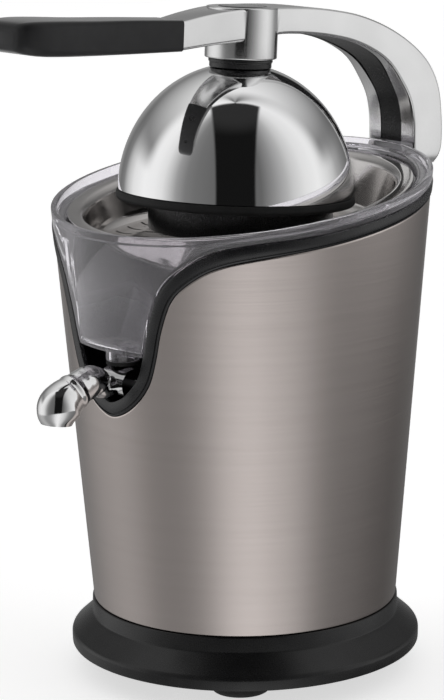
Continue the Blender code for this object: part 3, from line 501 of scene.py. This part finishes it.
def build_base():
    outline = [
        (0.0762, 0.0418), (0.0762, 0.0358), (0.0789, 0.0356), (0.0791, 0.0276), (0.0806, 0.0262),
        (0.0893, 0.0186), (0.0899, 0.0172), (0.0898, 0.0116), (0.0876, 0.0114), (0.0876, 0.0165),
        (0.0762, 0.0258), (0.0744, 0.0418),
    ]  # fmt: skip
    radii = [0.0003, 0.0003, 0.0006, 0.0006, 0.0004, 0.0012, 0.0008, 0.0008, 0.0003, 0.0015, 0.002, 0.0003]
    ring = lathe("base_ring_fine", rounded(outline, radii), steps=180)
    cut(ring, peg(0.0054, (0, 0.068, 0.0235), (0, 0.095, 0.0235)))  # for the cable inlet
    ride(paint(ring, BLACK), "body", "base_ring", slot="black_plastic")
    for number, angle in enumerate((45, 135, 225, 315), 1):
        outline = [(0, 0.0108), (0.0155, 0.0108), (0.0155, 0.0022), (0.0138, 0.0001), (0, 0.0001)]
        foot = lathe(
            f"foot_pad_{number}", rounded(outline, [0, 0.0004, 0.0012, 0.0012, 0], closed=False),
            steps=64, centre=polar(0.0535, angle, 0),
        )  # fmt: skip
        ride(paint(foot, RUBBER), "body", f"foot_{number}", slot="rubber")


SHELL_WALL = 0.001


def cut_hinge_notch(obj):
    """Clears the rear rim for the hinge bracket."""
    return cut(obj, block((-0.0121, 0.088, 0.2376), (0.0121, 0.110, 0.2640)))


def build_shell():
    """A cone with rounded rims. Extra rows beside each rim keep the shading of the wide faces straight."""
    sections = []
    for angle, height in both_sides(LOWER_EDGE):
        low, high = BODY_BOTTOM + 0.0003, height - 0.0003
        rows = [high, high - 0.0010, mix(high, low, 0.3), mix(high, low, 0.7), low + 0.0010, low]
        outline = [(body_r(z) - SHELL_WALL, z) for z in rows] + [(body_r(z), z) for z in reversed(rows)]
        radii = [0.0004, 0, 0, 0, 0, 0.0004] * 2
        sections.append([polar(r, angle, z) for r, z in rounded(outline, radii, steps=2)])
    shell = loft("steel_shell_fine", sections, ring=True)
    cut_hinge_notch(shell)
    ride(paint(shell, STEEL), "body", "steel_shell", slot="brushed_steel")


def build_trim():
    """A satin band with a fine groove beside the steel and a thin raised lip beside the container."""
    outline = [  # share of the width from the steel, height above the body's cone
        (0.02, -0.0018), (0.02, 0.0004), (0.13, 0.0006), (0.16, 0.0000), (0.22, 0.0000), (0.25, 0.0007),
        (0.80, 0.0008), (0.98, 0.0003), (0.98, -0.0018),
    ]  # fmt: skip
    sections = []
    for (a0, z0), (a1, z1) in zip(both_sides(LOWER_EDGE), both_sides(UPPER_EDGE)):
        section = []
        for share, lift in outline:
            angle, height = mix(a0, a1, share), mix(z0, z1, share)
            section.append(polar(body_r(height) + lift, angle, height))
        sections.append(section)
    trim = loft("rim_trim_fine", sections, ring=True, angle=50)
    cut_hinge_notch(trim)
    ride(paint(trim, TRIM), "body", "rim_trim", slot="black_plastic")


# Container


def floor_z(y):
    """The container's floor, which falls towards the outlet at the front."""
    return FLOOR_HEIGHT + FLOOR_SLOPE * y


def skirt_bottom(angle):
    """Lower edge of the container's visible band, just above the trim."""
    return max(POCKET_BOTTOM + 0.0024, height_at(UPPER_EDGE, abs(angle) + 0.6) + 0.0006)


def container_section(angle):
    """Cross-section of the container at an angle: outer skin down and out, rim, inner skin back."""
    front = math.cos(math.radians(angle))
    skirt = skirt_bottom(angle)
    rim = tilted_z(RIM_HEIGHT, 0.0961, angle)
    floor = floor_z(-0.080 * front)
    corner = max(POCKET_BOTTOM, min(floor + 0.0008, skirt - 0.0024))
    # 1 where the floor drops into the outlet's pocket, 1 where the band meets the pocket's bottom, and
    # 1 round the front, where the lower corner lies close to the wall
    pocket = (floor + 0.0008 - corner) / (floor + 0.0008 - POCKET_BOTTOM)
    flush = smooth_step(pocket, 0.9, 1.0)
    wide = 1 - smooth_step(abs((angle + 180) % 360 - 180), 38, 52)
    inner = body_r(skirt) - 0.0057
    shelf = max(corner + 0.0008, min(tilted_z(LIP_HEIGHT, LIP_R, angle) - 0.0057, skirt - 0.0008))
    wall = CONTAINER_WALL
    outer = body_r(skirt) + CONTAINER_GAP
    corner_r = mix(mix(0.0800, body_r(corner) - 0.0062, wide), outer - 0.0008, flush)
    shelf_r = mix(mix(0.0818, body_r(shelf) - 0.0060, wide), outer - 0.0002, flush)
    step_r = mix(inner, outer - 0.0001, flush)
    well_r = mix(0.0735, 0.0660, pocket)
    outline = [
        (0.0136, 0.2290),
        (0.0136, floor_z(-0.0136 * front)),
        (0.0600, floor_z(-0.0600 * front)),
        (well_r, mix(floor_z(-0.0735 * front), POCKET_BOTTOM + 0.0002, pocket)),
        (corner_r, corner),
        (shelf_r, shelf),
        (step_r, shelf + 0.0003),
        (step_r, skirt - 0.0004),
        (outer, skirt),
        (body_r(rim) + CONTAINER_GAP, rim),
        (body_r(rim) - CONTAINER_RIM, rim),
        (body_r(rim - 0.004) - CONTAINER_RIM, rim - 0.0040),
        (body_r(rim - 0.004) - 0.0031, rim - 0.0046),
        (mix(body_r(skirt), outer, flush) - 0.0028, skirt + wall),
        (step_r - mix(wall, 0.0027, flush), skirt + wall - 0.0002),
        (step_r - mix(wall, 0.0028, flush), shelf + wall + 0.0004),
        (shelf_r - mix(wall, 0.0028, flush), shelf + wall),
        (corner_r - mix(wall, 0.0026, flush), corner + wall),
        (well_r + mix(-0.0004, wall, pocket), mix(floor_z(-0.0735 * front), POCKET_BOTTOM, pocket) + wall),
        (0.0600, floor_z(-0.0600 * front) + wall),
        (0.0158, floor_z(-0.0158 * front) + wall),
        (0.0155, 0.2290),
    ]
    return [polar(r, angle, z) for r, z in rounded(outline, 0.0007, steps=2)]


def build_container():
    dip = [angle for angle, _ in UPPER_EDGE if 0 < angle < 60]
    half = [0] + dip + list(range(62, 181, 2))
    angles = half + [-a for a in reversed(half[1:-1])]
    container = loft("juice_container_fine", [container_section(a) for a in angles], ring=True, angle=45)
    boss = [(0, 0.1790), (0.0085, 0.1790), (0.0085, 0.1715), (0, 0.1715)]
    outlet = (0, OUTLET_Y, 0)
    join(container, lathe("boss", rounded(boss, [0, 0, 0.0006, 0], closed=False), 48, outlet))
    cut(container, peg(0.0062, (0, OUTLET_Y, 0.165), (0, OUTLET_Y, 0.1815)))
    container.visible_shadow = False  # light reaches the inside, as it does through clear plastic
    ride(paint(container, CLEAR), "body", "juice_container", slot="smoke_clear")


# Spout: barrel, thin neck, and a bent tube with a bead and a rounded end that opens downwards


def tube(name, path, radii, sides=64):
    """A round solid along a path in the YZ plane, with a radius at each point."""
    sections = []
    for i, (point, radius) in enumerate(zip(path, radii)):
        ahead = path[min(i + 1, len(path) - 1)]
        behind = path[max(i - 1, 0)]
        along = (ahead - behind).normalized()
        side = Vector((1, 0, 0))
        up = side.cross(along)
        section = []
        for step in range(sides):
            turn = 2 * math.pi * step / sides
            section.append(point + radius * (side * math.cos(turn) + up * math.sin(turn)))
        sections.append(section)
    return loft(name, sections, angle=40)


SPOUT_LINE = (  # y, z, outer radius, bore radius, from the barrel to the mouth
    (-0.0800, 0.1598, 0.0054, 0.0038), (-0.0915, 0.1590, 0.0050, 0.0036), (-0.0955, 0.1622, 0.0072, 0.0056),
    (-0.1000, 0.1640, 0.0080, 0.0065), (-0.1050, 0.1626, 0.0083, 0.0068), (-0.1105, 0.1604, 0.0088, 0.0073),
    (-0.1160, 0.1578, 0.0100, 0.0085), (-0.1196, 0.1546, 0.0109, 0.0094), (-0.1213, 0.1506, 0.0100, 0.0086),
    (-0.1219, 0.1462, 0.0076, 0.0063),
)  # fmt: skip
BEAD_AT = 0.556  # share of the way along the tube
BEAD_HALF = 0.035
BEAD_LIFT = 0.0006
BARREL_R = 0.0082
BARREL_HALF = 0.0085
BARREL_BORE_R = 0.0067
BARREL_BORE_HALF = 0.0068


def spout_peg(radius, half, sides=48):
    """A cylinder across the spout, centred on its pivot."""
    reach = Vector((half, 0, 0))
    return peg(radius, SPOUT_PIVOT - reach, SPOUT_PIVOT + reach, sides)


def build_spout():
    line = smooth_path([Vector(p) for p in SPOUT_LINE], 8)
    path = [Vector((0, p[0], p[1])) for p in line]
    radii = []
    for i, point in enumerate(line):
        away = abs(i / (len(line) - 1) - BEAD_AT) / BEAD_HALF
        radii.append(point[2] + BEAD_LIFT * max(0.0, 1 - away * away))
    spout = spout_peg(BARREL_R, BARREL_HALF, 64)
    join(spout, tube("spout_outer", path, radii))
    bore_path = path[:-1] + [path[-1] + (path[-1] - path[-2]).normalized() * 0.003]
    cut(spout, tube("spout_bore", bore_path, [p[3] for p in line]))
    cut(spout, spout_peg(BARREL_BORE_R, BARREL_BORE_HALF))
    cut(spout, peg(0.0048, (0, OUTLET_Y, 0.1580), (0, OUTLET_Y, 0.1780), 32))  # inlet from the container
    cut(spout, spout_peg(0.0023, 0.026, 32))  # pivot pin
    spout.name = "spout_fine"
    ride(paint(spout, SPOUT_METAL), "spout_body", "spout", slot="spout_chrome")


# Strainer and reamer


STRAINER_SLOTS = ((0.0290, 18), (0.0420, 26), (0.0550, 34), (0.0665, 40))  # ring radius, slots in it
STRAINER_SLOT = (0.0090, 0.0013, 0.040)  # length along the radius, width, height of the cutter


def strainer_floor(y):
    return 0.2205 + 0.05 * y


def build_strainer():
    sections = []
    for angle in range(0, 360, 3):
        front = math.cos(math.radians(angle))
        lip = tilted_z(LIP_HEIGHT, LIP_R, angle)
        floor = [strainer_floor(-r * front) for r in (0.0185, 0.0700)]
        outline = [
            (0.0186, floor[0] + 0.0045), (0.0178, floor[0] + 0.0045), (0.0178, floor[0] - 0.0008),
            (0.0700, floor[1] - 0.0008), (0.0765, floor[1] + 0.0030), (0.0790, lip - 0.0030),
            (0.0810, lip - 0.0011), (LIP_R, lip - 0.0010), (LIP_R, lip), (0.0806, lip - 0.0001),
            (0.0780, lip - 0.0026), (0.0756, floor[1] + 0.0036), (0.0694, floor[1]), (0.0186, floor[0]),
        ]  # fmt: skip
        radii = [0, 0, 0, 0.004, 0.004, 0.0015, 0.0010, 0.0004, 0.0004, 0.0012, 0.0018, 0.004, 0.004, 0.0006]
        sections.append([polar(r, angle, z) for r, z in rounded(outline, radii, steps=3)])
    strainer = loft("strainer_fine", sections, ring=True, angle=40)
    bm = bmesh.new()
    for ring_r, count in STRAINER_SLOTS:
        for step in range(count):
            turn = 2 * math.pi * (step + 0.5) / count
            made = bmesh.ops.create_cube(bm, size=1)["verts"]
            bmesh.ops.scale(bm, vec=STRAINER_SLOT, verts=made)
            spot = Vector((ring_r * math.cos(turn), ring_r * math.sin(turn), 0.2200))
            turned = Matrix.Translation(spot) @ Matrix.Rotation(turn, 4, "Z")
            bmesh.ops.transform(bm, matrix=turned, verts=made)
    cut(strainer, finish_mesh("slots", bm))
    ride(paint(strainer, SIEVE), "body", "strainer", slot="strainer_steel")


REAMER_RIBS = 8
RIB_COLUMNS = 16  # columns of points for each rib
RIB_DEPTH = 0.12  # share of the radius
RIB_SHARPNESS = 0.7
REAMER_ROWS = (  # radius, height, share of the ribs' depth
    (0.0467, 0.2440, 0.0), (0.0462, 0.2465, 0.0), (0.0440, 0.2475, 0.0), (0.0370, 0.2490, 0.25),
    (0.0320, 0.2530, 1.0), (0.0275, 0.2620, 1.0), (0.0215, 0.2710, 1.0), (0.0140, 0.2790, 0.9),
    (0.0065, 0.2840, 0.6), (0.0015, 0.2860, 0.1),
)  # fmt: skip


def build_reamer():
    """A crown with sharp ribs on a plain skirt, hollow below, with a hub for the shaft."""
    outside = [Vector((0.0467, 0.2287, 0.0))] + smooth_path([Vector(row) for row in REAMER_ROWS], 6)
    inside = [(0.0160, 0.2640), (0.0250, 0.2500), (0.0445, 0.2430), (0.0445, 0.2287)]
    bm = bmesh.new()
    columns = REAMER_RIBS * RIB_COLUMNS
    rows = []
    for radius, height, groove in outside:
        row = []
        for step in range(columns):
            angle = 360 * step / columns
            hollow = abs(math.sin(math.radians(angle * REAMER_RIBS / 2))) ** RIB_SHARPNESS
            row.append(bm.verts.new(polar(radius * (1 - RIB_DEPTH * groove * hollow), angle, height)))
        rows.append(row)
    for radius, height in inside:
        rows.append([bm.verts.new(polar(radius, 360 * s / columns, height)) for s in range(columns)])
    tip, roof = rows[len(outside) - 1], rows[len(outside)]
    skin(bm, rows[: len(outside)])
    skin(bm, rows[len(outside) :] + [rows[0]])
    bm.faces.new(tip)
    bm.faces.new(roof)
    reamer = finish_mesh("reamer_fine", bm, angle=30)
    join(reamer, peg(0.0095, (0, 0, 0.2325), (0, 0, 0.2680), 32))  # hub
    cut(reamer, peg(0.0056, (0, 0, 0.2300), (0, 0, 0.2511), 6))  # six-sided socket for the shaft
    ride(paint(reamer, BLACK), "cone", "reamer", slot="black_plastic")


# Dome


DOME_HOLE_R = 0.0034
DOME_WALL = 0.0010
LINER_INSETS = (0.0020, 0.0036)  # its outer and inner face, below the dome's outer face


def dome_curve(inset, count):
    """The dome's profile from the hole at its top down to its edge."""
    top = math.acos(DOME_HOLE_R / (DOME_R - inset))
    points = []
    for step in range(count + 1):
        turn = mix(top, 0.008, step / count)
        height = DOME_EDGE_Z + (DOME_RISE - inset) * math.sin(turn)
        points.append(((DOME_R - inset) * math.cos(turn), height))
    return points


def build_dome():
    centre = (0, DOME_Y, 0)
    edge_z = DOME_EDGE_Z + 0.0001
    edge = [(DOME_R, edge_z), (DOME_R - DOME_WALL, edge_z)]
    outline = dome_curve(0, 60) + edge + list(reversed(dome_curve(DOME_WALL, 60)))
    dome = tilt_with_arm(lathe("dome_fine", outline, 180, centre))
    ride(paint(dome, CHROME), "arm", "dome", slot="mirror_steel")
    outline = dome_curve(LINER_INSETS[0], 30) + list(reversed(dome_curve(LINER_INSETS[1], 30)))
    liner = tilt_with_arm(lathe("dome_liner_fine", outline, 128, centre))
    ride(paint(liner, BLACK), "arm", "dome_liner", slot="black_plastic")
    outline = [(0.0598, 0.2377), (0.0604, 0.2345), (0.0596, 0.2332), (0.0560, 0.2332), (0.0558, 0.2377)]
    gasket = lathe("dome_gasket_fine", rounded(outline, 0.0006), 160, centre)
    ride(paint(tilt_with_arm(gasket), RUBBER), "arm", "dome_gasket", slot="rubber")
    outline = [
        (0.0161, 0.3045), (0.0161, 0.3030), (0.0156, 0.3026), (0.0156, 0.3002), (0.0062, 0.3021),
        (0.0062, 0.3045),
    ]  # fmt: skip
    collar = lathe("dome_collar_fine", rounded(outline, 0.0004, steps=3), 96, centre)
    ride(paint(tilt_with_arm(collar), TRIM), "arm", "dome_collar", slot="black_plastic")


# Arm, hub and grip


ARM_STATIONS = (  # upper (outer) y and z, lower (inner) y and z, half width
    (-0.0500, 0.3242, -0.0500, 0.3102, 0.0108), (-0.0330, 0.3275, -0.0330, 0.3122, 0.0122),
    (-0.0150, 0.3298, -0.0130, 0.3142, 0.0144), (0.0020, 0.3305, 0.0020, 0.3158, 0.0150),
    (0.0150, 0.3306, 0.0130, 0.3172, 0.0146), (0.0310, 0.3302, 0.0300, 0.3168, 0.0142),
    (0.0480, 0.3288, 0.0460, 0.3153, 0.0144), (0.0670, 0.3258, 0.0620, 0.3124, 0.0149),
    (0.0864, 0.3197, 0.0760, 0.3076, 0.0155), (0.1040, 0.3109, 0.0876, 0.3011, 0.0160),
    (0.1170, 0.3006, 0.0965, 0.2917, 0.0165), (0.1250, 0.2880, 0.1035, 0.2815, 0.0168),
    (0.1282, 0.2730, 0.1068, 0.2705, 0.0170), (0.1292, 0.2585, 0.1078, 0.2585, 0.0170),
    (0.1275, 0.2520, 0.1092, 0.2520, 0.0170), (0.1240, 0.2480, 0.1125, 0.2480, 0.0168),
)  # fmt: skip


class Sized(list):
    """A list of numbers that adds and scales like a vector, of any length."""

    def __add__(self, other):
        return Sized(a + b for a, b in zip(self, other))

    def __sub__(self, other):
        return Sized(a - b for a, b in zip(self, other))

    def __mul__(self, scale):
        return Sized(a * scale for a in self)

    __rmul__ = __mul__


def bar_section(upper, lower, half, edge, steps=5):
    """A rectangle across X with rounded edges, between an upper and a lower point in the YZ plane."""
    upper, lower = Vector(upper), Vector(lower)
    down = lower - upper
    outline = [(-half, 0.0), (half, 0.0), (half, down.length), (-half, down.length)]
    along = down.normalized()
    section = []
    for x, depth in rounded(outline, edge, steps=steps):
        spot = upper + along * depth
        section.append(Vector((x, spot.x, spot.y)))
    return section


ARM_SPAN = 6  # sections between two stations
CHANNEL_DEPTH = 0.0018
CHANNEL_HALF_TOP = 0.0128
CHANNEL_HALF_REAR = 0.0076
CLEVIS_HALF = 0.0122
HUB_R = 0.0181
HUB_TOP = 0.3303
HUB_BOTTOM = 0.3048
HUB_POCKET_Z = 0.3292


def channel_loft(stations, start, depth, sink):
    """A bar along the underside of the arm's bend, from start to depth inside it: the channel, and the black
    inlay in it that paints a dark reflection.
    It is wide at the top and narrow down the rear leg."""
    sections = []
    for number, (outer_y, outer_z, inner_y, inner_z, _) in enumerate(stations):
        narrowing = smooth_step(number / (len(stations) - 1), 0.15, 0.6)
        half = mix(CHANNEL_HALF_TOP, CHANNEL_HALF_REAR, narrowing) - sink
        foot = Vector((inner_y, inner_z))
        inward = (Vector((outer_y, outer_z)) - foot).normalized()
        low, high = foot + inward * start, foot + inward * depth
        corners = ((-half, low), (half, low), (half, high), (-half, high))
        sections.append([Vector((x, p.x, p.y)) for x, p in corners])
    return loft("channel", sections)


def arm_peg(radius, start, end, sides):
    """A cylinder along the hinge's axis, between two X values."""
    return peg(radius, ARM_PIVOT + Vector((start, 0, 0)), ARM_PIVOT + Vector((end, 0, 0)), sides)


def build_arm():
    stations = smooth_path([Sized(s) for s in ARM_STATIONS], ARM_SPAN)
    sections = [bar_section((s[0], s[1]), (s[2], s[3]), s[4], 0.0016) for s in stations]
    arm = loft("press_arm_fine", sections, angle=40)
    outline = [(0, HUB_TOP), (HUB_R, HUB_TOP), (HUB_R, HUB_BOTTOM), (0, HUB_BOTTOM)]
    hub = lathe("hub", rounded(outline, [0, 0.0008, 0.0008, 0], closed=False), 128, (0, DOME_Y, 0))
    join(arm, hub)
    join(arm, block((-0.0070, -0.1200, 0.3132), (0.0070, -0.0480, 0.3212)))  # tang inside the grip
    # The hub's cap pocket and the dome's screw hole
    cut(arm, peg(0.0121, (0, DOME_Y, HUB_POCKET_Z), (0, DOME_Y, 0.3400), 64))
    cut(arm, peg(0.0023, (0, DOME_Y, 0.3000), (0, DOME_Y, 0.3190), 24))
    # The clevis round the hinge bracket: a round pocket, with a slot in front and one behind
    cut(arm, arm_peg(0.0091, -CLEVIS_HALF, CLEVIS_HALF, 64))
    cut(arm, block((-CLEVIS_HALF, 0.1000, 0.2400), (CLEVIS_HALF, ARM_PIVOT.y, 0.2562)))
    cut(arm, block((-CLEVIS_HALF, ARM_PIVOT.y - 0.0010, 0.2400), (CLEVIS_HALF, 0.1400, 0.2618)))
    cut(arm, arm_peg(0.0033, -0.03, 0.0158, 32))  # hinge pin
    cut(arm, arm_peg(0.0063, -0.03, -0.0148, 48))  # hinge cap
    cut(arm, channel_loft(stations[5 * ARM_SPAN : 15 * ARM_SPAN + 1], -0.006, CHANNEL_DEPTH, 0.0))
    apply_modifiers(arm, 32)
    ride(paint(tilt_with_arm(arm), SATIN), "arm", "press_arm", slot="satin_chrome")
    # Black inlay down the channel: a dark sheet that stands in for the dark reflection on the arm's polished
    # underside, a painted reflection
    inlaid = stations[5 * ARM_SPAN : 13 * ARM_SPAN + 1]
    painted_reflection_inlay = channel_loft(inlaid, 0.0004, CHANNEL_DEPTH - 0.0001, 0.0002)
    painted_reflection_inlay.name = "arm_painted_reflection_inlay_fine"
    ride(paint(tilt_with_arm(painted_reflection_inlay), BLACK), "arm", slot="black_plastic")
    outline = [(0, 0.3306), (0.0118, 0.3306), (0.0118, 0.3294), (0, 0.3294)]
    cap = lathe("hub_cap_fine", rounded(outline, [0, 0.0004, 0.0003, 0], closed=False), 96, (0, DOME_Y, 0))
    ride(paint(tilt_with_arm(cap), GRIP), "arm", "hub_cap", slot="grip_black")


GRIP_STATIONS = (  # y, top, bottom, half width, edge radius
    (-0.0503, 0.3250, 0.3097, 0.0116, 0.0022), (-0.0800, 0.3256, 0.3093, 0.0124, 0.0024),
    (-0.1050, 0.3258, 0.3092, 0.0142, 0.0028), (-0.1270, 0.3263, 0.3094, 0.0168, 0.0034),
    (-0.1400, 0.3263, 0.3098, 0.0172, 0.0042), (-0.1480, 0.3256, 0.3108, 0.0150, 0.0046),
    (-0.1512, 0.3240, 0.3122, 0.0118, 0.0044), (-0.1523, 0.3215, 0.3145, 0.0080, 0.0030),
)  # fmt: skip


GRIP_SCREWS_Y = (-0.066, -0.106)


def build_grip():
    sections = []
    for y, top, low, half, edge in smooth_path([Sized(s) for s in GRIP_STATIONS], 6):
        sections.append(bar_section((y, top), (y, low), half, edge, steps=6))
    grip = loft("grip_fine", sections, angle=50)
    cut(grip, block((-0.0073, -0.1203, 0.3129), (0.0073, -0.0400, 0.3215)))  # for the arm's tang
    for y in GRIP_SCREWS_Y:
        cut(grip, peg(0.0016, (0, y, 0.3000), (0, y, 0.3195), 24))
        cut(grip, peg(0.0033, (0, y, 0.3000), (0, y, 0.3112), 32))
    ride(paint(tilt_with_arm(grip), GRIP), "arm", "grip", slot="grip_black")


build_base()
build_shell()
build_trim()
build_container()
build_spout()
build_strainer()
build_reamer()
build_dome()
build_arm()
build_grip()


# Studio: floor, surrounding light and camera


CAMERA_AZIMUTH = math.radians(47.733)  # from the front towards +X
CAMERA_DISTANCE = 1.4347
CAMERA_HEIGHT = 0.4912
CAMERA_YAW = math.radians(-0.407)
CAMERA_PITCH = math.radians(12.868)  # downwards
CAMERA_ROLL = math.radians(-0.754)
LENS = 148.43  # mm, on a 36 mm long side


def build_camera():
    sin_a, cos_a = math.sin(CAMERA_AZIMUTH), math.cos(CAMERA_AZIMUTH)
    level, up = Vector((-sin_a, cos_a, 0)), Vector((0, 0, 1))
    right = Vector((cos_a, sin_a, 0))
    level, right = (
        math.cos(CAMERA_YAW) * level + math.sin(CAMERA_YAW) * right,
        math.cos(CAMERA_YAW) * right - math.sin(CAMERA_YAW) * level,
    )
    ahead = math.cos(CAMERA_PITCH) * level - math.sin(CAMERA_PITCH) * up
    raised = math.cos(CAMERA_PITCH) * up + math.sin(CAMERA_PITCH) * level
    side = math.cos(CAMERA_ROLL) * right + math.sin(CAMERA_ROLL) * raised
    top = math.cos(CAMERA_ROLL) * raised - math.sin(CAMERA_ROLL) * right
    camera = bpy.data.objects.new("camera", bpy.data.cameras.new("camera"))
    bpy.context.scene.collection.objects.link(camera)
    camera.data.lens = LENS
    camera.data.sensor_width = 36
    camera.data.clip_start = 0.05
    place = Vector((CAMERA_DISTANCE * sin_a, -CAMERA_DISTANCE * cos_a, CAMERA_HEIGHT)) + AXIS
    turn = Matrix((side, top, -ahead)).transposed()
    camera.matrix_world = Matrix.Translation(place) @ turn.to_4x4()
    bpy.context.scene.camera = camera


# Brightness round the horizon: (degrees from the camera's side, growing to its right; level)
UPPER_LIGHT = (
    (-180, 0.35), (-165, 0.30), (-150, 0.17), (-140, 0.22), (-130, 0.55), (-118, 0.85), (-100, 1.0),
    (-86, 0.96), (-76, 0.85), (-68, 0.62), (-60, 0.36), (-50, 0.22), (-40, 0.18), (-24, 0.15),
    (0, 0.13), (25, 0.14), (38, 0.30), (51, 0.50), (58, 0.65), (72, 0.85),
    (88, 0.95), (102, 0.78), (112, 0.60), (119, 0.42), (133, 0.25), (144, 0.17), (158, 0.14), (170, 0.30),
)  # fmt: skip
LOWER_LIGHT = (
    (-180, 0.20), (-142, 0.30), (-117, 0.45), (-99, 0.52), (-84, 0.46), (-70, 0.34), (-58, 0.32),
    (-46, 0.34), (-35, 0.42), (-24, 0.60), (-13, 0.88), (0, 1.05), (10, 1.04), (18, 0.92), (29, 0.80),
    (40, 0.64), (52, 0.40), (64, 0.26), (77, 0.21), (91, 0.17), (107, 0.13), (127, 0.11), (160, 0.16),
)  # fmt: skip


GAP_HALF = 0.33  # half the dark gap in front, as a sine


def grey(level):
    return (level, level, level)


def level_ramp(tree, share, table):
    """The brightness round the horizon, from a table and a share of the turn."""
    ramp = node(tree, "ShaderNodeValToRGB")
    ramp.color_ramp.interpolation = "LINEAR"
    stops = ramp.color_ramp.elements
    for number, (degrees, level) in enumerate(table):
        place = (degrees + 180) / 360
        stop = stops[number] if number < 2 else stops.new(place)
        stop.position = place
        stop.color = (*grey(level), 1)
    tree.links.new(share, ramp.inputs["Fac"])
    return ramp.outputs["Color"]


def math_node(tree, operation, *values):
    made = node(tree, "ShaderNodeMath", operation=operation)
    for socket, value in zip(made.inputs, values):
        if isinstance(value, (int, float)):
            socket.default_value = value
        else:
            tree.links.new(value, socket)
    return made.outputs["Value"]


def direction_share(tree, ray, axis):
    """How far a ray points along an axis, from -1 to 1."""
    dot = node(tree, "ShaderNodeVectorMath", operation="DOT_PRODUCT")
    dot.inputs[1].default_value = axis
    tree.links.new(ray, dot.inputs[0])
    return dot.outputs["Value"]


def build_studio():
    """Softboxes round the horizon with a dark gap in front, light behind that grows with height, and
    a white backdrop where the camera looks straight at it."""
    world = bpy.data.worlds.new("studio")
    bpy.context.scene.world = world
    world.use_nodes = True
    tree = world.node_tree
    tree.nodes.clear()
    ray = node(tree, "ShaderNodeTexCoord").outputs["Generated"]
    sin_a, cos_a = math.sin(CAMERA_AZIMUTH), math.cos(CAMERA_AZIMUTH)
    sideways = direction_share(tree, ray, (cos_a, sin_a, 0))
    towards = direction_share(tree, ray, (sin_a, -cos_a, 0))
    height = direction_share(tree, ray, (0, 0, 1))

    turn = math_node(tree, "ARCTAN2", sideways, towards)
    share = math_node(tree, "MULTIPLY_ADD", turn, 1 / (2 * math.pi), 0.5)
    upper = level_ramp(tree, share, UPPER_LIGHT)
    lower = level_ramp(tree, share, LOWER_LIGHT)

    raised = math_node(tree, "POWER", math_node(tree, "MAXIMUM", height, 0.0), 1.35)
    rear = math_node(tree, "MULTIPLY", raised, 0.95)
    behind = map_range(tree, towards, -0.02, -0.30)
    above = math_node(tree, "MULTIPLY", behind, map_range(tree, height, 0.12, 0.40))
    walls = blend(tree, above, upper, rear)

    offset = math_node(tree, "ABSOLUTE", sideways)
    gap = math_node(tree, "SUBTRACT", 1.0, map_range(tree, offset, GAP_HALF - 0.03, GAP_HALF + 0.02))
    gap = math_node(tree, "MULTIPLY", gap, map_range(tree, towards, -0.02, 0.03))
    walls = blend(tree, gap, walls, map_range(tree, height, 0.80, 0.95, 0.008, 0.03))

    everything = blend(tree, map_range(tree, height, -0.30, -0.22), lower, walls)
    camera_ray = node(tree, "ShaderNodeLightPath").outputs["Is Camera Ray"]
    background = node(tree, "ShaderNodeBackground")
    tree.links.new(blend(tree, camera_ray, everything, grey(1.0)), background.inputs["Color"])
    output = node(tree, "ShaderNodeOutputWorld")
    tree.links.new(background.outputs["Background"], output.inputs["Surface"])


FLOOR_HALF = 2.5


def build_floor():
    bm = bmesh.new()
    bmesh.ops.create_grid(bm, x_segments=1, y_segments=1, size=FLOOR_HALF)
    floor = finish_mesh("floor", bm, place=Vector((0, 0, 0)))
    material = surface(
        "pale_floor", (0.86, 0.86, 0.86), (0.88, 0.88, 0.88), (0.5, 0.6), 40, bump=0.02,
        Emission_Color=(1, 1, 1, 1), Emission_Strength=0.62,
    )  # fmt: skip
    paint(floor, material)
    floor.visible_glossy = False


build_camera()
build_studio()
build_floor()
bpy.context.scene.view_settings.view_transform = "Standard"
